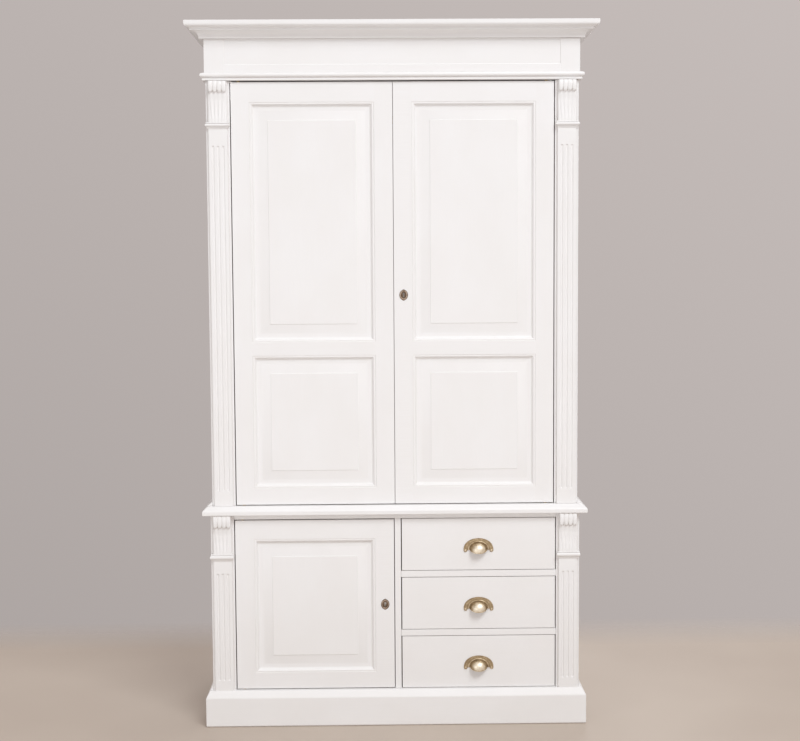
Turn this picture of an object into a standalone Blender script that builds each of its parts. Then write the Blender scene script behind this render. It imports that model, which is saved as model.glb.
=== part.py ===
"""A white-painted two-part armoire: a tall cupboard with two panelled doors, standing on a lower case with one
panelled door and three drawers. Metres, +Z up, the front faces -Y, the origin is on the floor at the middle of the
object's box. Run with: blender --background --python part.py, or from the text editor."""

import math

import bmesh
import bpy
from mathutils import Matrix, Vector

# ---------------------------------------------------------------- driving dimensions
HEIGHT = 2.200           # floor to top of cornice
DEPTH = 0.617            # wall to front of cornice
UPPER_HALF_W = 0.575     # upper case, half width over the corner posts
LOWER_HALF_W = 0.581     # lower case, half width over the corner posts
CASE_STEP = 0.006        # the lower case stands this much further forward
CORNICE_OUT = 0.057      # cornice overhang, sides and front
GAP = 0.003              # working gap round doors and drawers
SKIN = 0.0003            # gap between pieces that touch
BOARD = 0.022            # thickness of case boards, posts and doors
BACK = 0.010             # thickness of the back boards

Y_BACK = DEPTH / 2
Y_UP = -DEPTH / 2 + CORNICE_OUT          # front plane of the upper doors and posts
Y_LOW = Y_UP - CASE_STEP                 # front plane of the lower door, drawers and posts

UP_OPEN = 0.500          # half width of the upper opening, to the middle of the gap
UP_Z0, UP_Z1 = 0.7054, 2.0217            # upper doors, middle of the gap below and above
LOW_OPEN = 0.506
LOW_Z0, LOW_Z1 = 0.1161, 0.6594
PARTITION_X0, PARTITION_X1 = -0.0022, 0.0172
RAIL_Z = ((0.4709, 0.4941), (0.2817, 0.3050))    # middle of the gaps under and over the two drawer rails

WAIST_Z = (0.6767, 0.6900, 0.7042)       # underside, top of the edge, top of the waist board
WAIST_OUT = 0.0295
FRIEZE_Z0, FRIEZE_Z1 = UP_Z1 + GAP / 2, 2.1497
FRIEZE_OUT = 0.0025                      # the frieze stands this proud of the posts at the sides
PLINTH_Z = (0.092, 0.1135)
PLINTH_OUT = 0.0213

PILASTER_W = 0.0585       # centred on the post
PILASTER_OUT = 0.008
FLUTES, FLUTE_R, FLUTE_PITCH = 3, 0.0042, 0.0157

PIVOT_IN = 0.025         # pivot pins stand this far inside the opening
PIN_R, PIN_BORE_R, PIN_LEN = 0.0040, 0.0046, 0.016
COLLAR_R = 0.0062

STILE_W = 0.074
RAIL_TOP, RAIL_MID, RAIL_LOW = 0.078, 0.076, 0.072
GROOVE_W, GROOVE_D = 0.0076, 0.009
TONGUE_T = 0.0070

PULL_HALF_W, PULL_H = 0.047, 0.038
BOWL_RX, BOWL_RY, BOWL_RZ = 0.029, 0.024, 0.024
ESC_W, ESC_H = 0.027, 0.035

WHITE = (0.86, 0.85, 0.82, 1)
RAW_WOOD = (0.62, 0.45, 0.27, 1)
BRASS = (0.45, 0.33, 0.17, 1)
BRONZE = (0.20, 0.15, 0.10, 1)
STEEL = (0.55, 0.55, 0.56, 1)

# ---------------------------------------------------------------- a clean scene and two collections
for old in list(bpy.data.objects):
    bpy.data.objects.remove(old, do_unlink=True)
armoire = bpy.data.collections.new("armoire")
cutters = bpy.data.collections.new("cutters")
bpy.context.scene.collection.children.link(armoire)
bpy.context.scene.collection.children.link(cutters)
cutters.hide_render = True


def paint(obj, colour, roughness=0.45, metallic=0.0):
    mat = bpy.data.materials.new(obj.name + "_finish")
    mat.use_nodes = True
    shader = mat.node_tree.nodes["Principled BSDF"]
    shader.inputs["Base Color"].default_value = colour
    shader.inputs["Roughness"].default_value = roughness
    shader.inputs["Metallic"].default_value = metallic
    obj.data.materials.clear()
    obj.data.materials.append(mat)
    return obj


def take(obj, name, cutter=False):
    """Names an object and puts it in its collection."""
    obj.name = name
    for c in list(obj.users_collection):
        c.objects.unlink(obj)
    (cutters if cutter else armoire).objects.link(obj)
    if cutter:
        obj.hide_render = True
        obj.display_type = "WIRE"
    return obj


def box(name, x, y, z, cutter=False):
    """A board between two x, two y and two z levels."""
    bpy.ops.mesh.primitive_cube_add(size=1)
    obj = bpy.context.active_object
    obj.location = ((x[0] + x[1]) / 2, (y[0] + y[1]) / 2, (z[0] + z[1]) / 2)
    obj.data.transform(Matrix.Diagonal((x[1] - x[0], y[1] - y[0], z[1] - z[0], 1)))
    return take(obj, name, cutter)


def rod(name, centre, radius, length, axis="Z", sides=24, cutter=False):
    """A round bar centred on a point."""
    bpy.ops.mesh.primitive_cylinder_add(vertices=sides, radius=radius, depth=length, location=centre)
    obj = bpy.context.active_object
    if axis == "X":
        obj.data.transform(Matrix.Rotation(math.pi / 2, 4, "Y"))
    elif axis == "Y":
        obj.data.transform(Matrix.Rotation(math.pi / 2, 4, "X"))
    return take(obj, name, cutter)


def prism(name, outline, span, axis, cutter=False, holes=()):
    """A flat outline extruded along an axis. axis X: points are (y, z). Y: (x, z). Z: (x, y)."""
    curve = bpy.data.curves.new(name, "CURVE")
    curve.dimensions = "2D"
    curve.fill_mode = "BOTH"
    curve.extrude = (span[1] - span[0]) / 2
    for ring in (outline, *holes):
        line = curve.splines.new("POLY")
        line.points.add(len(ring) - 1)
        for point, (u, v) in zip(line.points, ring):
            point.co = (u, v, 0, 1)
        line.use_cyclic_u = True
    guide = bpy.data.objects.new(name + "_outline", curve)
    bpy.context.scene.collection.objects.link(guide)
    bpy.context.view_layer.update()
    graph = bpy.context.evaluated_depsgraph_get()
    mesh = bpy.data.meshes.new_from_object(guide.evaluated_get(graph))
    bpy.data.objects.remove(guide)
    turn = {
        "X": Matrix(((0, 0, 1, 0), (1, 0, 0, 0), (0, 1, 0, 0), (0, 0, 0, 1))),
        "Y": Matrix(((1, 0, 0, 0), (0, 0, 1, 0), (0, 1, 0, 0), (0, 0, 0, 1))),
        "Z": Matrix.Identity(4),
    }[axis]
    mid = (span[0] + span[1]) / 2
    mesh.transform(Matrix.Translation(Vector((0, 0, mid))))
    mesh.transform(turn)
    work = bmesh.new()
    work.from_mesh(mesh)
    bmesh.ops.remove_doubles(work, verts=work.verts, dist=1e-6)
    bmesh.ops.recalc_face_normals(work, faces=work.faces)
    work.to_mesh(mesh)
    work.free()
    obj = bpy.data.objects.new(name, mesh)
    bpy.context.scene.collection.objects.link(obj)
    return take(obj, name, cutter)


def joined(base, operation, *others):
    """Adds one Boolean modifier for each other shape."""
    for other in others:
        step = base.modifiers.new(operation.title(), "BOOLEAN")
        step.operation = operation
        step.solver = "EXACT"
        step.object = other
    return base


def cut(base, *others):
    return joined(base, "DIFFERENCE", *others)


def union(base, *others):
    return joined(base, "UNION", *others)


def origin_to(obj, point):
    """Moves an object's origin to a point, and leaves its shape where it is."""
    shift = Vector(point) - obj.location
    obj.data.transform(Matrix.Translation(-shift))
    obj.location = point
    return obj


def mount(obj, empty):
    """Parents a piece to the empty on its joint's axis."""
    obj.parent = empty
    obj.matrix_parent_inverse = Matrix.Translation(-empty.location)
    return obj


def axis_empty(name, point):
    empty = bpy.data.objects.new(name, None)
    empty.location = point
    empty.empty_display_size = 0.05
    armoire.objects.link(empty)
    return empty


def crossing(profile, y_front, y_back):
    """The same profile seen from the side, carried on past the top, the bottom and the back."""
    low, high = profile[0][1], profile[-1][1]
    ends = [(y_front - profile[0][0], low - 0.01)], [(y_front - profile[-1][0], high + 0.01), (y_back + 0.05, high + 0.01), (y_back + 0.05, low - 0.01)]
    return ends[0] + [(y_front - o, z) for o, z in profile] + ends[1]


def moulded(name, profile, half_w, y_front, y_back, inner_x, inner_y):
    """A moulding that runs along both sides and the front with mitred corners. The profile is a list of
    (how far out, height) from the bottom up, and the inner space is cut away."""
    low, high = profile[0][1], profile[-1][1]
    side = [(half_w + o, z) for o, z in profile]
    across = side + [(-x, z) for x, z in reversed(side)]
    reach = max(o for o, _ in profile) + 0.02
    body = prism(name, across, (y_front - reach, y_back), "Y")
    front = prism(name + "_front_cutter", crossing(profile, y_front, y_back), (-half_w - reach, half_w + reach), "X", cutter=True)
    joined(body, "INTERSECT", front)
    hollow = box(name + "_hollow_cutter", (-inner_x, inner_x), (inner_y, y_back + 0.05), (low - 0.05, high + 0.05), True)
    return cut(body, hollow)


def arc(cx, cz, r, start, end, steps):
    """Points of an arc, degrees from +u towards +v."""
    return [
        (cx + r * math.cos(math.radians(start + (end - start) * i / steps)),
         cz + r * math.sin(math.radians(start + (end - start) * i / steps)))
        for i in range(steps + 1)
    ]


# ---------------------------------------------------------------- corner posts with fluted pilasters
def post(name, side, half_w, opening, y_face, z0, z1, corbel_z, ring_z, flute_z):
    """A corner post: a flat stile with a fluted pilaster on it, a scrolled corbel at the top and a ring below it.
    side is -1 for the left and 1 for the right."""
    inner, outer = opening + GAP / 2, half_w
    lo, hi = sorted((side * inner, side * outer))
    body = box(name, (lo, hi), (y_face, y_face + BOARD), (z0, z1))
    centre = (inner + outer) / 2
    p_in, p_out = centre - PILASTER_W / 2, centre + PILASTER_W / 2
    lo, hi = sorted((side * p_in, side * p_out))
    slab = box(name + "_pilaster", (lo, hi), (y_face - PILASTER_OUT, y_face + 0.004), (z0, z1), True)
    front = y_face - PILASTER_OUT
    top, foot = corbel_z
    # the scroll bulges forward at the top and thins to a leaf that ends at the ring
    scroll = [(y_face + 0.003, z1), (front - 0.011, z1), (front - 0.0135, z1 - 0.35 * (z1 - top)),
              (front - 0.0115, z1 - 0.75 * (z1 - top)), (front - 0.0060, top), (front - 0.0045, (top + foot) / 2),
              (front - 0.0015, foot), (y_face + 0.003, foot)]
    corbel = prism(name + "_corbel", scroll, sorted((side * (p_in + 0.001), side * (p_out - 0.001))), "X", cutter=True)
    r_lo, r_hi = sorted((side * (inner + 0.0015), side * (outer + 0.0018)))
    rz0, rz1 = ring_z
    ring_side = [(y_face + 0.003, rz0), (front - 0.0030, rz0), (front - 0.0065, (rz0 + rz1) / 2 - 0.002),
                 (front - 0.0065, (rz0 + rz1) / 2 + 0.002), (front - 0.0030, rz1), (y_face + 0.003, rz1)]
    ring = prism(name + "_ring", ring_side, (r_lo, r_hi), "X", cutter=True)
    union(body, slab, corbel, ring)
    middle = side * centre
    for i in range(FLUTES):
        x = middle + (i - (FLUTES - 1) / 2) * FLUTE_PITCH
        groove = rod(f"{name}_flute_{i + 1}", (x, front - 0.0012, sum(flute_z) / 2), FLUTE_R, flute_z[1] - flute_z[0],
                     sides=12, cutter=True)
        cut(body, groove)
    return paint(body, WHITE)


UP_POST_Z = (WAIST_Z[2] + SKIN, FRIEZE_Z0 - SKIN)
LOW_POST_Z = (0.002, WAIST_Z[0] - SKIN)
for word, side in (("left", -1), ("right", 1)):
    post(f"upper_post_{word}", side, UPPER_HALF_W, UP_OPEN, Y_UP, *UP_POST_Z, (1.989, 1.900), (1.878, 1.897), (0.752, 1.826))
    post(f"lower_post_{word}", side, LOWER_HALF_W, LOW_OPEN, Y_LOW, *LOW_POST_Z, (0.633, 0.556), (0.534, 0.553), (0.146, 0.490))

# ---------------------------------------------------------------- upper case
side_y = (Y_UP + BOARD + SKIN, Y_BACK)
for word, side in (("left", -1), ("right", 1)):
    lo, hi = sorted((side * (UPPER_HALF_W - BOARD), side * UPPER_HALF_W))
    paint(box(f"upper_side_{word}", (lo, hi), side_y, UP_POST_Z), WHITE)
upper_in = UPPER_HALF_W - BOARD - SKIN
paint(box("upper_back", (-upper_in, upper_in), (Y_BACK - BACK, Y_BACK), (WAIST_Z[2] + SKIN, FRIEZE_Z1 - SKIN)), WHITE)

# frieze: a front board with proud end blocks and two side boards, and the astragal worked along its lower edge
frieze_half = UPPER_HALF_W + FRIEZE_OUT
Y_FRIEZE = Y_UP - 0.0080
frieze = box("frieze", (-frieze_half, frieze_half), (Y_FRIEZE, Y_BACK), (FRIEZE_Z0, FRIEZE_Z1))
frieze_hollow = box("frieze_hollow_cutter", (-frieze_half + 0.0245, frieze_half - 0.0245), (Y_UP + BOARD, Y_BACK + 0.05), (FRIEZE_Z0 - 0.05, FRIEZE_Z1 + 0.05), True)
cut(frieze, frieze_hollow)
for word, side in (("left", -1), ("right", 1)):
    lo, hi = sorted((side * (frieze_half - 0.060), side * (frieze_half)))
    union(frieze, box(f"frieze_block_{word}", (lo, hi), (Y_FRIEZE - 0.0025, Y_FRIEZE + 0.004), (FRIEZE_Z0, FRIEZE_Z1), True))
astragal = [(-0.004, FRIEZE_Z0 + 0.0020), (0.0094, FRIEZE_Z0 + 0.0035), (0.0096, FRIEZE_Z0 + 0.0095)] + [
    (0.0095 + 0.0065 * math.sin(math.radians(a)), FRIEZE_Z0 + 0.0170 - 0.0070 * math.cos(math.radians(a))) for a in (25, 60, 90, 120, 155)
] + [(0.0080, FRIEZE_Z0 + 0.0245), (-0.004, FRIEZE_Z0 + 0.0260)]
bead = [(UPPER_HALF_W + o, z) for o, z in astragal]
bead_solid = prism("astragal", bead + [(-x, z) for x, z in reversed(bead)], (Y_UP - 0.05, Y_BACK - 0.0005), "Y", cutter=True)
bead_front = prism("astragal_front_cutter", crossing(astragal, Y_UP, Y_BACK), (-0.7, 0.7), "X", cutter=True)
joined(bead_solid, "INTERSECT", bead_front)
cut(bead_solid, box("astragal_hollow_cutter", (-frieze_half + 0.020, frieze_half - 0.020), (Y_UP + BOARD - 0.004, Y_BACK + 0.05), (FRIEZE_Z0 - 0.05, FRIEZE_Z1 + 0.05), True))
union(frieze, bead_solid)
paint(frieze, WHITE)

# cornice: a mitred frame that carries the dust board, like a shallow tray
cz = FRIEZE_Z1 + SKIN
top_profile = (
    [(0.0173, cz), (0.0175, cz + 0.006)]
    + [(0.0177 + 0.0213 * (1 - math.cos(math.radians(a))), cz + 0.006 + 0.0155 * math.sin(math.radians(a))) for a in (30, 60, 90)]
    + [(0.0414, cz + 0.0219), (0.0416, cz + 0.0290)]
    + [(0.0440 + 0.0120 * math.sin(math.radians(a)), cz + 0.0310 + 0.0075 * (1 - math.cos(math.radians(a)))) for a in (0, 35, 65, 90)]
    + [(CORNICE_OUT, cz + 0.0390), (CORNICE_OUT, HEIGHT - 0.0015), (CORNICE_OUT - 0.0015, HEIGHT)]
)
cornice = moulded("cornice", top_profile, UPPER_HALF_W, Y_UP, Y_BACK, 0.530, Y_UP + 0.045)
union(cornice, box("dust_board", (-0.535, 0.535), (Y_UP + 0.040, Y_BACK - 0.0005), (cz + 0.0005, cz + 0.012), True))
paint(cornice, WHITE)

# hanging rail with a flange at each end
RAIL_POS = (0.030, 1.930)
rail_half = upper_in - 0.0005
hanging_rail = rod("hanging_rail", (0, *RAIL_POS), 0.0125, 2 * rail_half, "X", 24)
for word, side in (("left", -1), ("right", 1)):
    union(hanging_rail, rod(f"rail_flange_{word}", (side * (rail_half - 0.004), *RAIL_POS), 0.026, 0.008, "X", 24, cutter=True))
paint(hanging_rail, BRASS, 0.35, 1.0)

# ---------------------------------------------------------------- waist board: top of the lower case and floor of the upper one
w0, w1, w2 = WAIST_Z
waist_profile = [(WAIST_OUT - 0.0002, w0), (WAIST_OUT, w1), (WAIST_OUT - 0.0045, w1 + 0.0045), (0.0140, w2)]
half_l = UPPER_HALF_W
edge = [(half_l + o, z) for o, z in waist_profile]
waist = prism("waist_board", edge + [(-x, z) for x, z in reversed(edge)], (Y_UP - 0.06, Y_BACK), "Y")
joined(waist, "INTERSECT", prism("waist_front_cutter", crossing(waist_profile, Y_UP, Y_BACK), (-0.7, 0.7), "X", cutter=True))
for word, side in (("left", -1), ("right", 1)):
    strip = [(side * (half_l + SKIN), w2 - 0.004), (side * (half_l + SKIN), w2 + 0.0125), (side * (half_l + 0.0018), w2 + 0.0125), (side * (half_l + 0.0138), w2 + 0.0003), (side * (half_l + 0.0136), w2 - 0.004)]
    union(waist, prism(f"waist_strip_{word}", strip, (Y_UP, Y_BACK - 0.0005), "Y", cutter=True))
paint(waist, WHITE)

# ---------------------------------------------------------------- lower case
side_y = (Y_LOW + BOARD + SKIN, Y_BACK)
for word, side in (("left", -1), ("right", 1)):
    lo, hi = sorted((side * (LOWER_HALF_W - BOARD), side * LOWER_HALF_W))
    paint(box(f"lower_side_{word}", (lo, hi), side_y, (0.002, w0 - SKIN)), WHITE)
lower_in = LOWER_HALF_W - BOARD - SKIN
deck_z = (LOW_Z1 + GAP / 2, w0 - SKIN)
floor_z = (LOW_Z0 - GAP / 2 - BOARD, LOW_Z0 - GAP / 2)
paint(box("lower_back", (-lower_in, lower_in), (Y_BACK - BACK, Y_BACK), (floor_z[0], w0 - SKIN)), WHITE)
rail_in = LOW_OPEN + GAP / 2 - SKIN
lower_top_rail = paint(box("lower_top_rail", (-rail_in, rail_in), (Y_LOW, Y_LOW + 0.075), deck_z), WHITE)
lower_bottom = box("lower_bottom", (-lower_in, lower_in), (Y_LOW, Y_BACK - BACK - SKIN), floor_z)
for word, side in (("left", -1), ("right", 1)):
    lo, hi = sorted((side * (LOW_OPEN + GAP / 2 - SKIN), side * 0.7))
    cut(lower_bottom, box(f"bottom_notch_{word}", (lo, hi), (Y_LOW - 0.02, Y_LOW + BOARD + SKIN), (0.0, 0.2), True))
paint(lower_bottom, WHITE)
partition = paint(box("partition", (PARTITION_X0, PARTITION_X1), (Y_LOW, Y_BACK - BACK - SKIN), (floor_z[1] + SKIN, deck_z[0] - SKIN)), WHITE)
for word, (low, high) in zip(("upper", "lower"), RAIL_Z):
    rail = box(f"drawer_rail_{word}", (PARTITION_X1 + SKIN, lower_in), (Y_LOW, Y_BACK - BACK - SKIN), (low + GAP / 2, high - GAP / 2))
    cut(rail, box(f"drawer_rail_notch_{word}", (LOW_OPEN + GAP / 2 - SKIN, 0.7), (Y_LOW - 0.02, Y_LOW + BOARD + SKIN), (0.2, 0.6), True))
    paint(rail, WHITE)

# plinth: mitred round the front and sides, with a weathered top edge that rises along the sides
p1, p2 = PLINTH_Z
plinth_profile = [(PLINTH_OUT, 0.0), (PLINTH_OUT, p1), (0.0095, p2)]
plinth = moulded("plinth", [(o, z) for o, z in plinth_profile], LOWER_HALF_W, Y_LOW, Y_BACK, LOWER_HALF_W + SKIN, Y_LOW - SKIN)
for word, side in (("left", -1), ("right", 1)):
    strip = [(side * (LOWER_HALF_W + 0.0004), p2 - 0.004), (side * (LOWER_HALF_W + 0.0004), p2 + 0.0185), (side * (LOWER_HALF_W + 0.0014), p2 + 0.0185), (side * (LOWER_HALF_W + 0.0093), p2 + 0.0003), (side * (LOWER_HALF_W + 0.0091), p2 - 0.004)]
    union(plinth, prism(f"plinth_strip_{word}", strip, (Y_LOW, Y_BACK - 0.0005), "Y", cutter=True))
# the pilasters stand in front of the posts, so the plinth is cut back to clear them
for word, side in (("left", -1), ("right", 1)):
    mid_post = (LOW_OPEN + GAP / 2 + LOWER_HALF_W) / 2
    lo, hi = sorted((side * (mid_post - PILASTER_W / 2 - SKIN), side * (mid_post + PILASTER_W / 2 + SKIN)))
    cut(plinth, box(f"plinth_notch_{word}", (lo, hi), (Y_LOW - PILASTER_OUT - SKIN, Y_LOW + 0.02), (-0.02, 0.2), True))
paint(plinth, WHITE)


# ---------------------------------------------------------------- panelled doors
def door(prefix, x0, x1, y_face, z0, z1, rails, hinge_x, empty):
    """Two stiles, rails between them and a raised panel in each opening. rails is a list of (name, bottom, top)."""
    pieces = {}
    mid_y = y_face + BOARD / 2
    g0, g1 = mid_y - GROOVE_W / 2, mid_y + GROOVE_W / 2
    for word, edge_x, inward in (("left", x0, 1), ("right", x1, -1)):
        section = [(edge_x, y_face), (edge_x + inward * STILE_W, y_face), (edge_x + inward * STILE_W, g0),
                   (edge_x + inward * (STILE_W - GROOVE_D), g0), (edge_x + inward * (STILE_W - GROOVE_D), g1),
                   (edge_x + inward * STILE_W, g1), (edge_x + inward * STILE_W, y_face + BOARD), (edge_x, y_face + BOARD)]
        pieces[word] = prism(f"{prefix}_stile_{word}", section, (z0, z1), "Z")
    inner0, inner1 = x0 + STILE_W, x1 - STILE_W
    openings = []
    for i, (word, low, high) in enumerate(rails):
        section = [(y_face, low), (y_face + BOARD, low)]
        if i > 0:
            section += [(g1, low), (g1, low + GROOVE_D), (g0, low + GROOVE_D), (g0, low)]
            section = [(y_face, low), (g0, low), (g0, low + GROOVE_D), (g1, low + GROOVE_D), (g1, low), (y_face + BOARD, low)]
        if i < len(rails) - 1:
            section += [(y_face + BOARD, high), (g1, high), (g1, high - GROOVE_D), (g0, high - GROOVE_D), (g0, high), (y_face, high)]
        else:
            section += [(y_face + BOARD, high), (y_face, high)]
        rail = prism(f"{prefix}_rail_{word}", section, (inner0 + SKIN, inner1 - SKIN), "X")
        t_low = low + (GROOVE_D if i > 0 else 0.012) + 0.0002
        t_high = high - (GROOVE_D if i < len(rails) - 1 else 0.012) - 0.0002
        tenon = box(f"{prefix}_rail_{word}_tenons", (inner0 - GROOVE_D + 0.0006, inner1 + GROOVE_D - 0.0006), (g0 + SKIN, g1 - SKIN), (t_low, t_high), True)
        union(rail, tenon)
        pieces[word] = rail
        if i < len(rails) - 1:
            openings.append((high, rails[i + 1][1]))
    names = ("panel",) if len(openings) == 1 else ("panel_lower", "panel_upper")
    for word, (low, high) in zip(names, openings):
        reach = GROOVE_D - 0.0012
        px, pz = (inner0 - reach, inner1 + reach), (low - reach, high + reach)
        t0, t1 = mid_y - TONGUE_T / 2, mid_y + TONGUE_T / 2
        # tongue and margin, then the bevel up to the raised field
        panel = box(f"{prefix}_{word}", px, (t0, t1), pz)
        margin, bevel = 0.008, 0.030
        fx, fz = (inner0 + margin, inner1 - margin), (low + margin, high - margin)
        rise = box(f"{prefix}_{word}_field", fx, (y_face + 0.0008, t0 + 0.002), fz, True)
        work = bmesh.new()
        work.from_mesh(rise.data)
        for v in work.verts:
            if v.co.y < 0:
                v.co.x -= math.copysign(bevel, v.co.x)
                v.co.z -= math.copysign(bevel, v.co.z)
        work.to_mesh(rise.data)
        work.free()
        union(panel, rise)
        pieces[word] = panel
    for piece in pieces.values():
        paint(piece, WHITE)
        mount(piece, empty)
    # bores for the two pivot pins
    stile = pieces["left" if abs(hinge_x - x0) < abs(hinge_x - x1) else "right"]
    for word, z in (("low", z0), ("high", z1)):
        cut(stile, rod(f"{prefix}_bore_{word}", (hinge_x, mid_y, z), PIN_BORE_R, 2 * (PIN_LEN + 0.002), sides=20, cutter=True))
    return pieces


def pivot(name, x, y, z_case, z_door, towards_door, case_board):
    """A pin standing in a bore of the case board, with a collar that keeps the door clear of it. towards_door is
    1 when the door is above the board and -1 when it is below."""
    s = towards_door
    lo, hi = sorted((z_case - s * 0.010, z_door + s * PIN_LEN))
    pin = rod(name, (x, y, (lo + hi) / 2), PIN_R, hi - lo, sides=20)
    lo, hi = sorted((z_case + s * SKIN, z_door - s * SKIN))
    union(pin, rod(name + "_collar", (x, y, (lo + hi) / 2), COLLAR_R, hi - lo, sides=20, cutter=True))
    cut(case_board, rod(name + "_seat", (x, y, z_case), PIN_R + SKIN, 0.0212, sides=20, cutter=True))
    return paint(pin, BRASS, 0.35, 1.0)


up_z0, up_z1 = UP_Z0 + GAP / 2, UP_Z1 - GAP / 2
low_z0, low_z1 = LOW_Z0 + GAP / 2, LOW_Z1 - GAP / 2
pivot_x = UP_OPEN - PIVOT_IN
y_pin = Y_UP + BOARD / 2
upper_rails = [("bottom", up_z0, up_z0 + RAIL_LOW), ("middle", 1.1585, 1.1585 + RAIL_MID), ("top", up_z1 - RAIL_TOP, up_z1)]
left_axis = axis_empty("upper_left_hinge_axis", (-pivot_x, y_pin, up_z0))
right_axis = axis_empty("upper_right_hinge_axis", (pivot_x, y_pin, up_z0))
left_door = door("upper_left", -UP_OPEN + GAP / 2, -GAP / 2, Y_UP, up_z0, up_z1, upper_rails, -pivot_x, left_axis)
right_door = door("upper_right", GAP / 2, UP_OPEN - GAP / 2, Y_UP, up_z0, up_z1, upper_rails, pivot_x, right_axis)
for word, x in (("left", -pivot_x), ("right", pivot_x)):
    pivot(f"upper_{word}_pivot_bottom", x, y_pin, WAIST_Z[2], up_z0, 1, waist)
    pivot(f"upper_{word}_pivot_top", x, y_pin, FRIEZE_Z0, up_z1, -1, frieze)

low_x0, low_x1 = -LOW_OPEN + GAP / 2, PARTITION_X0 - GAP
low_pivot_x = -LOW_OPEN + PIVOT_IN
y_pin_low = Y_LOW + BOARD / 2
low_axis = axis_empty("lower_hinge_axis", (low_pivot_x, y_pin_low, low_z0))
lower_rails = [("bottom", low_z0, low_z0 + RAIL_LOW), ("top", low_z1 - RAIL_TOP, low_z1)]
lower_door = door("lower", low_x0, low_x1, Y_LOW, low_z0, low_z1, lower_rails, low_pivot_x, low_axis)
pivot("lower_pivot_bottom", low_pivot_x, y_pin_low, floor_z[1], low_z0, 1, lower_bottom)
pivot("lower_pivot_top", low_pivot_x, y_pin_low, deck_z[0], low_z1, -1, lower_top_rail)


# ---------------------------------------------------------------- locks and escutcheons
def keyhole(cx, cz, r, slot_w, drop, sides=12):
    """A round top with a slot that widens downwards."""
    ring = []
    half = math.degrees(math.asin(slot_w / 2 / r))
    for i in range(sides + 1):
        a = math.radians(-90 + half + (360 - 2 * half) * i / sides)
        ring.append((cx + r * math.cos(a), cz + r * math.sin(a)))
    return ring + [(cx - slot_w * 0.62, cz - drop), (cx + slot_w * 0.62, cz - drop)]


def lock(prefix, key_x, key_z, y_face, edge_x, inward, stile, keeper, door_empty):
    """A mortise lock in a door stile: escutcheon outside, case in the stile's edge, and a bolt that slides out of it.
    edge_x is the stile's edge and inward points from it into the door."""
    mid_y = y_face + BOARD / 2
    # escutcheon: a pointed oval with the keyhole through it
    outline = []
    for i in range(28):
        a = 2 * math.pi * i / 28
        k = 1 + 0.07 * max(0, math.cos(2 * a + math.pi)) ** 6
        outline.append((key_x + ESC_W / 2 * math.cos(a), key_z + (ESC_H / 2 / 1.07) * k * math.sin(a)))
    plate = prism(f"{prefix}_escutcheon", outline, (y_face - 0.0018, y_face - SKIN), "Y", holes=(keyhole(key_x, key_z + 0.0035, 0.0034, 0.0034, 0.0105),))
    mount(paint(plate, BRONZE, 0.45, 1.0), door_empty)
    hole = prism(f"{prefix}_stile_keyhole", keyhole(key_x, key_z + 0.0035, 0.0040, 0.0042, 0.0110), (y_face - 0.01, mid_y - 0.002), "Y", cutter=True)
    cut(stile, hole)
    reach = 0.046
    lo, hi = sorted((edge_x - inward * 0.01, edge_x + inward * reach))
    cut(stile, box(f"{prefix}_lock_pocket", (lo, hi), (mid_y - 0.0055, mid_y + 0.0055), (key_z - 0.032, key_z + 0.032), True))
    lo, hi = sorted((edge_x + inward * 0.0003, edge_x + inward * (reach - SKIN)))
    case = box(f"{prefix}_lock_case", (lo, hi), (mid_y - 0.0052, mid_y + 0.0052), (key_z - 0.0317, key_z + 0.0317))
    lo, hi = sorted((edge_x - inward * 0.01, edge_x + inward * 0.030))
    cut(case, box(f"{prefix}_bolt_channel", (lo, hi), (mid_y - 0.0031, mid_y + 0.0031), (key_z - 0.0093, key_z + 0.0093), True))
    mount(paint(case, STEEL, 0.4, 1.0), door_empty)
    lo, hi = sorted((edge_x + inward * 0.0008, edge_x + inward * 0.0290))
    bolt = box(f"{prefix}_lock_bolt", (lo, hi), (mid_y - 0.0027, mid_y + 0.0027), (key_z - 0.0088, key_z + 0.0088))
    mount(paint(bolt, BRASS, 0.35, 1.0), door_empty)
    # the mortise that the bolt enters in the piece next to the door
    out = edge_x - inward * GAP
    lo, hi = sorted((out + inward * 0.002, out - inward * 0.0115))
    cut(keeper, box(f"{prefix}_bolt_mortise", (lo, hi), (mid_y - 0.0036, mid_y + 0.0036), (key_z - 0.0100, key_z + 0.0100), True))
    return plate


lock("upper", 0.0308, 1.3635, Y_UP, GAP / 2, 1, right_door["left"], left_door["right"], right_axis)
lock("lower", -0.0335, 0.3860, Y_LOW, low_x1, -1, lower_door["right"], partition, low_axis)


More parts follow.
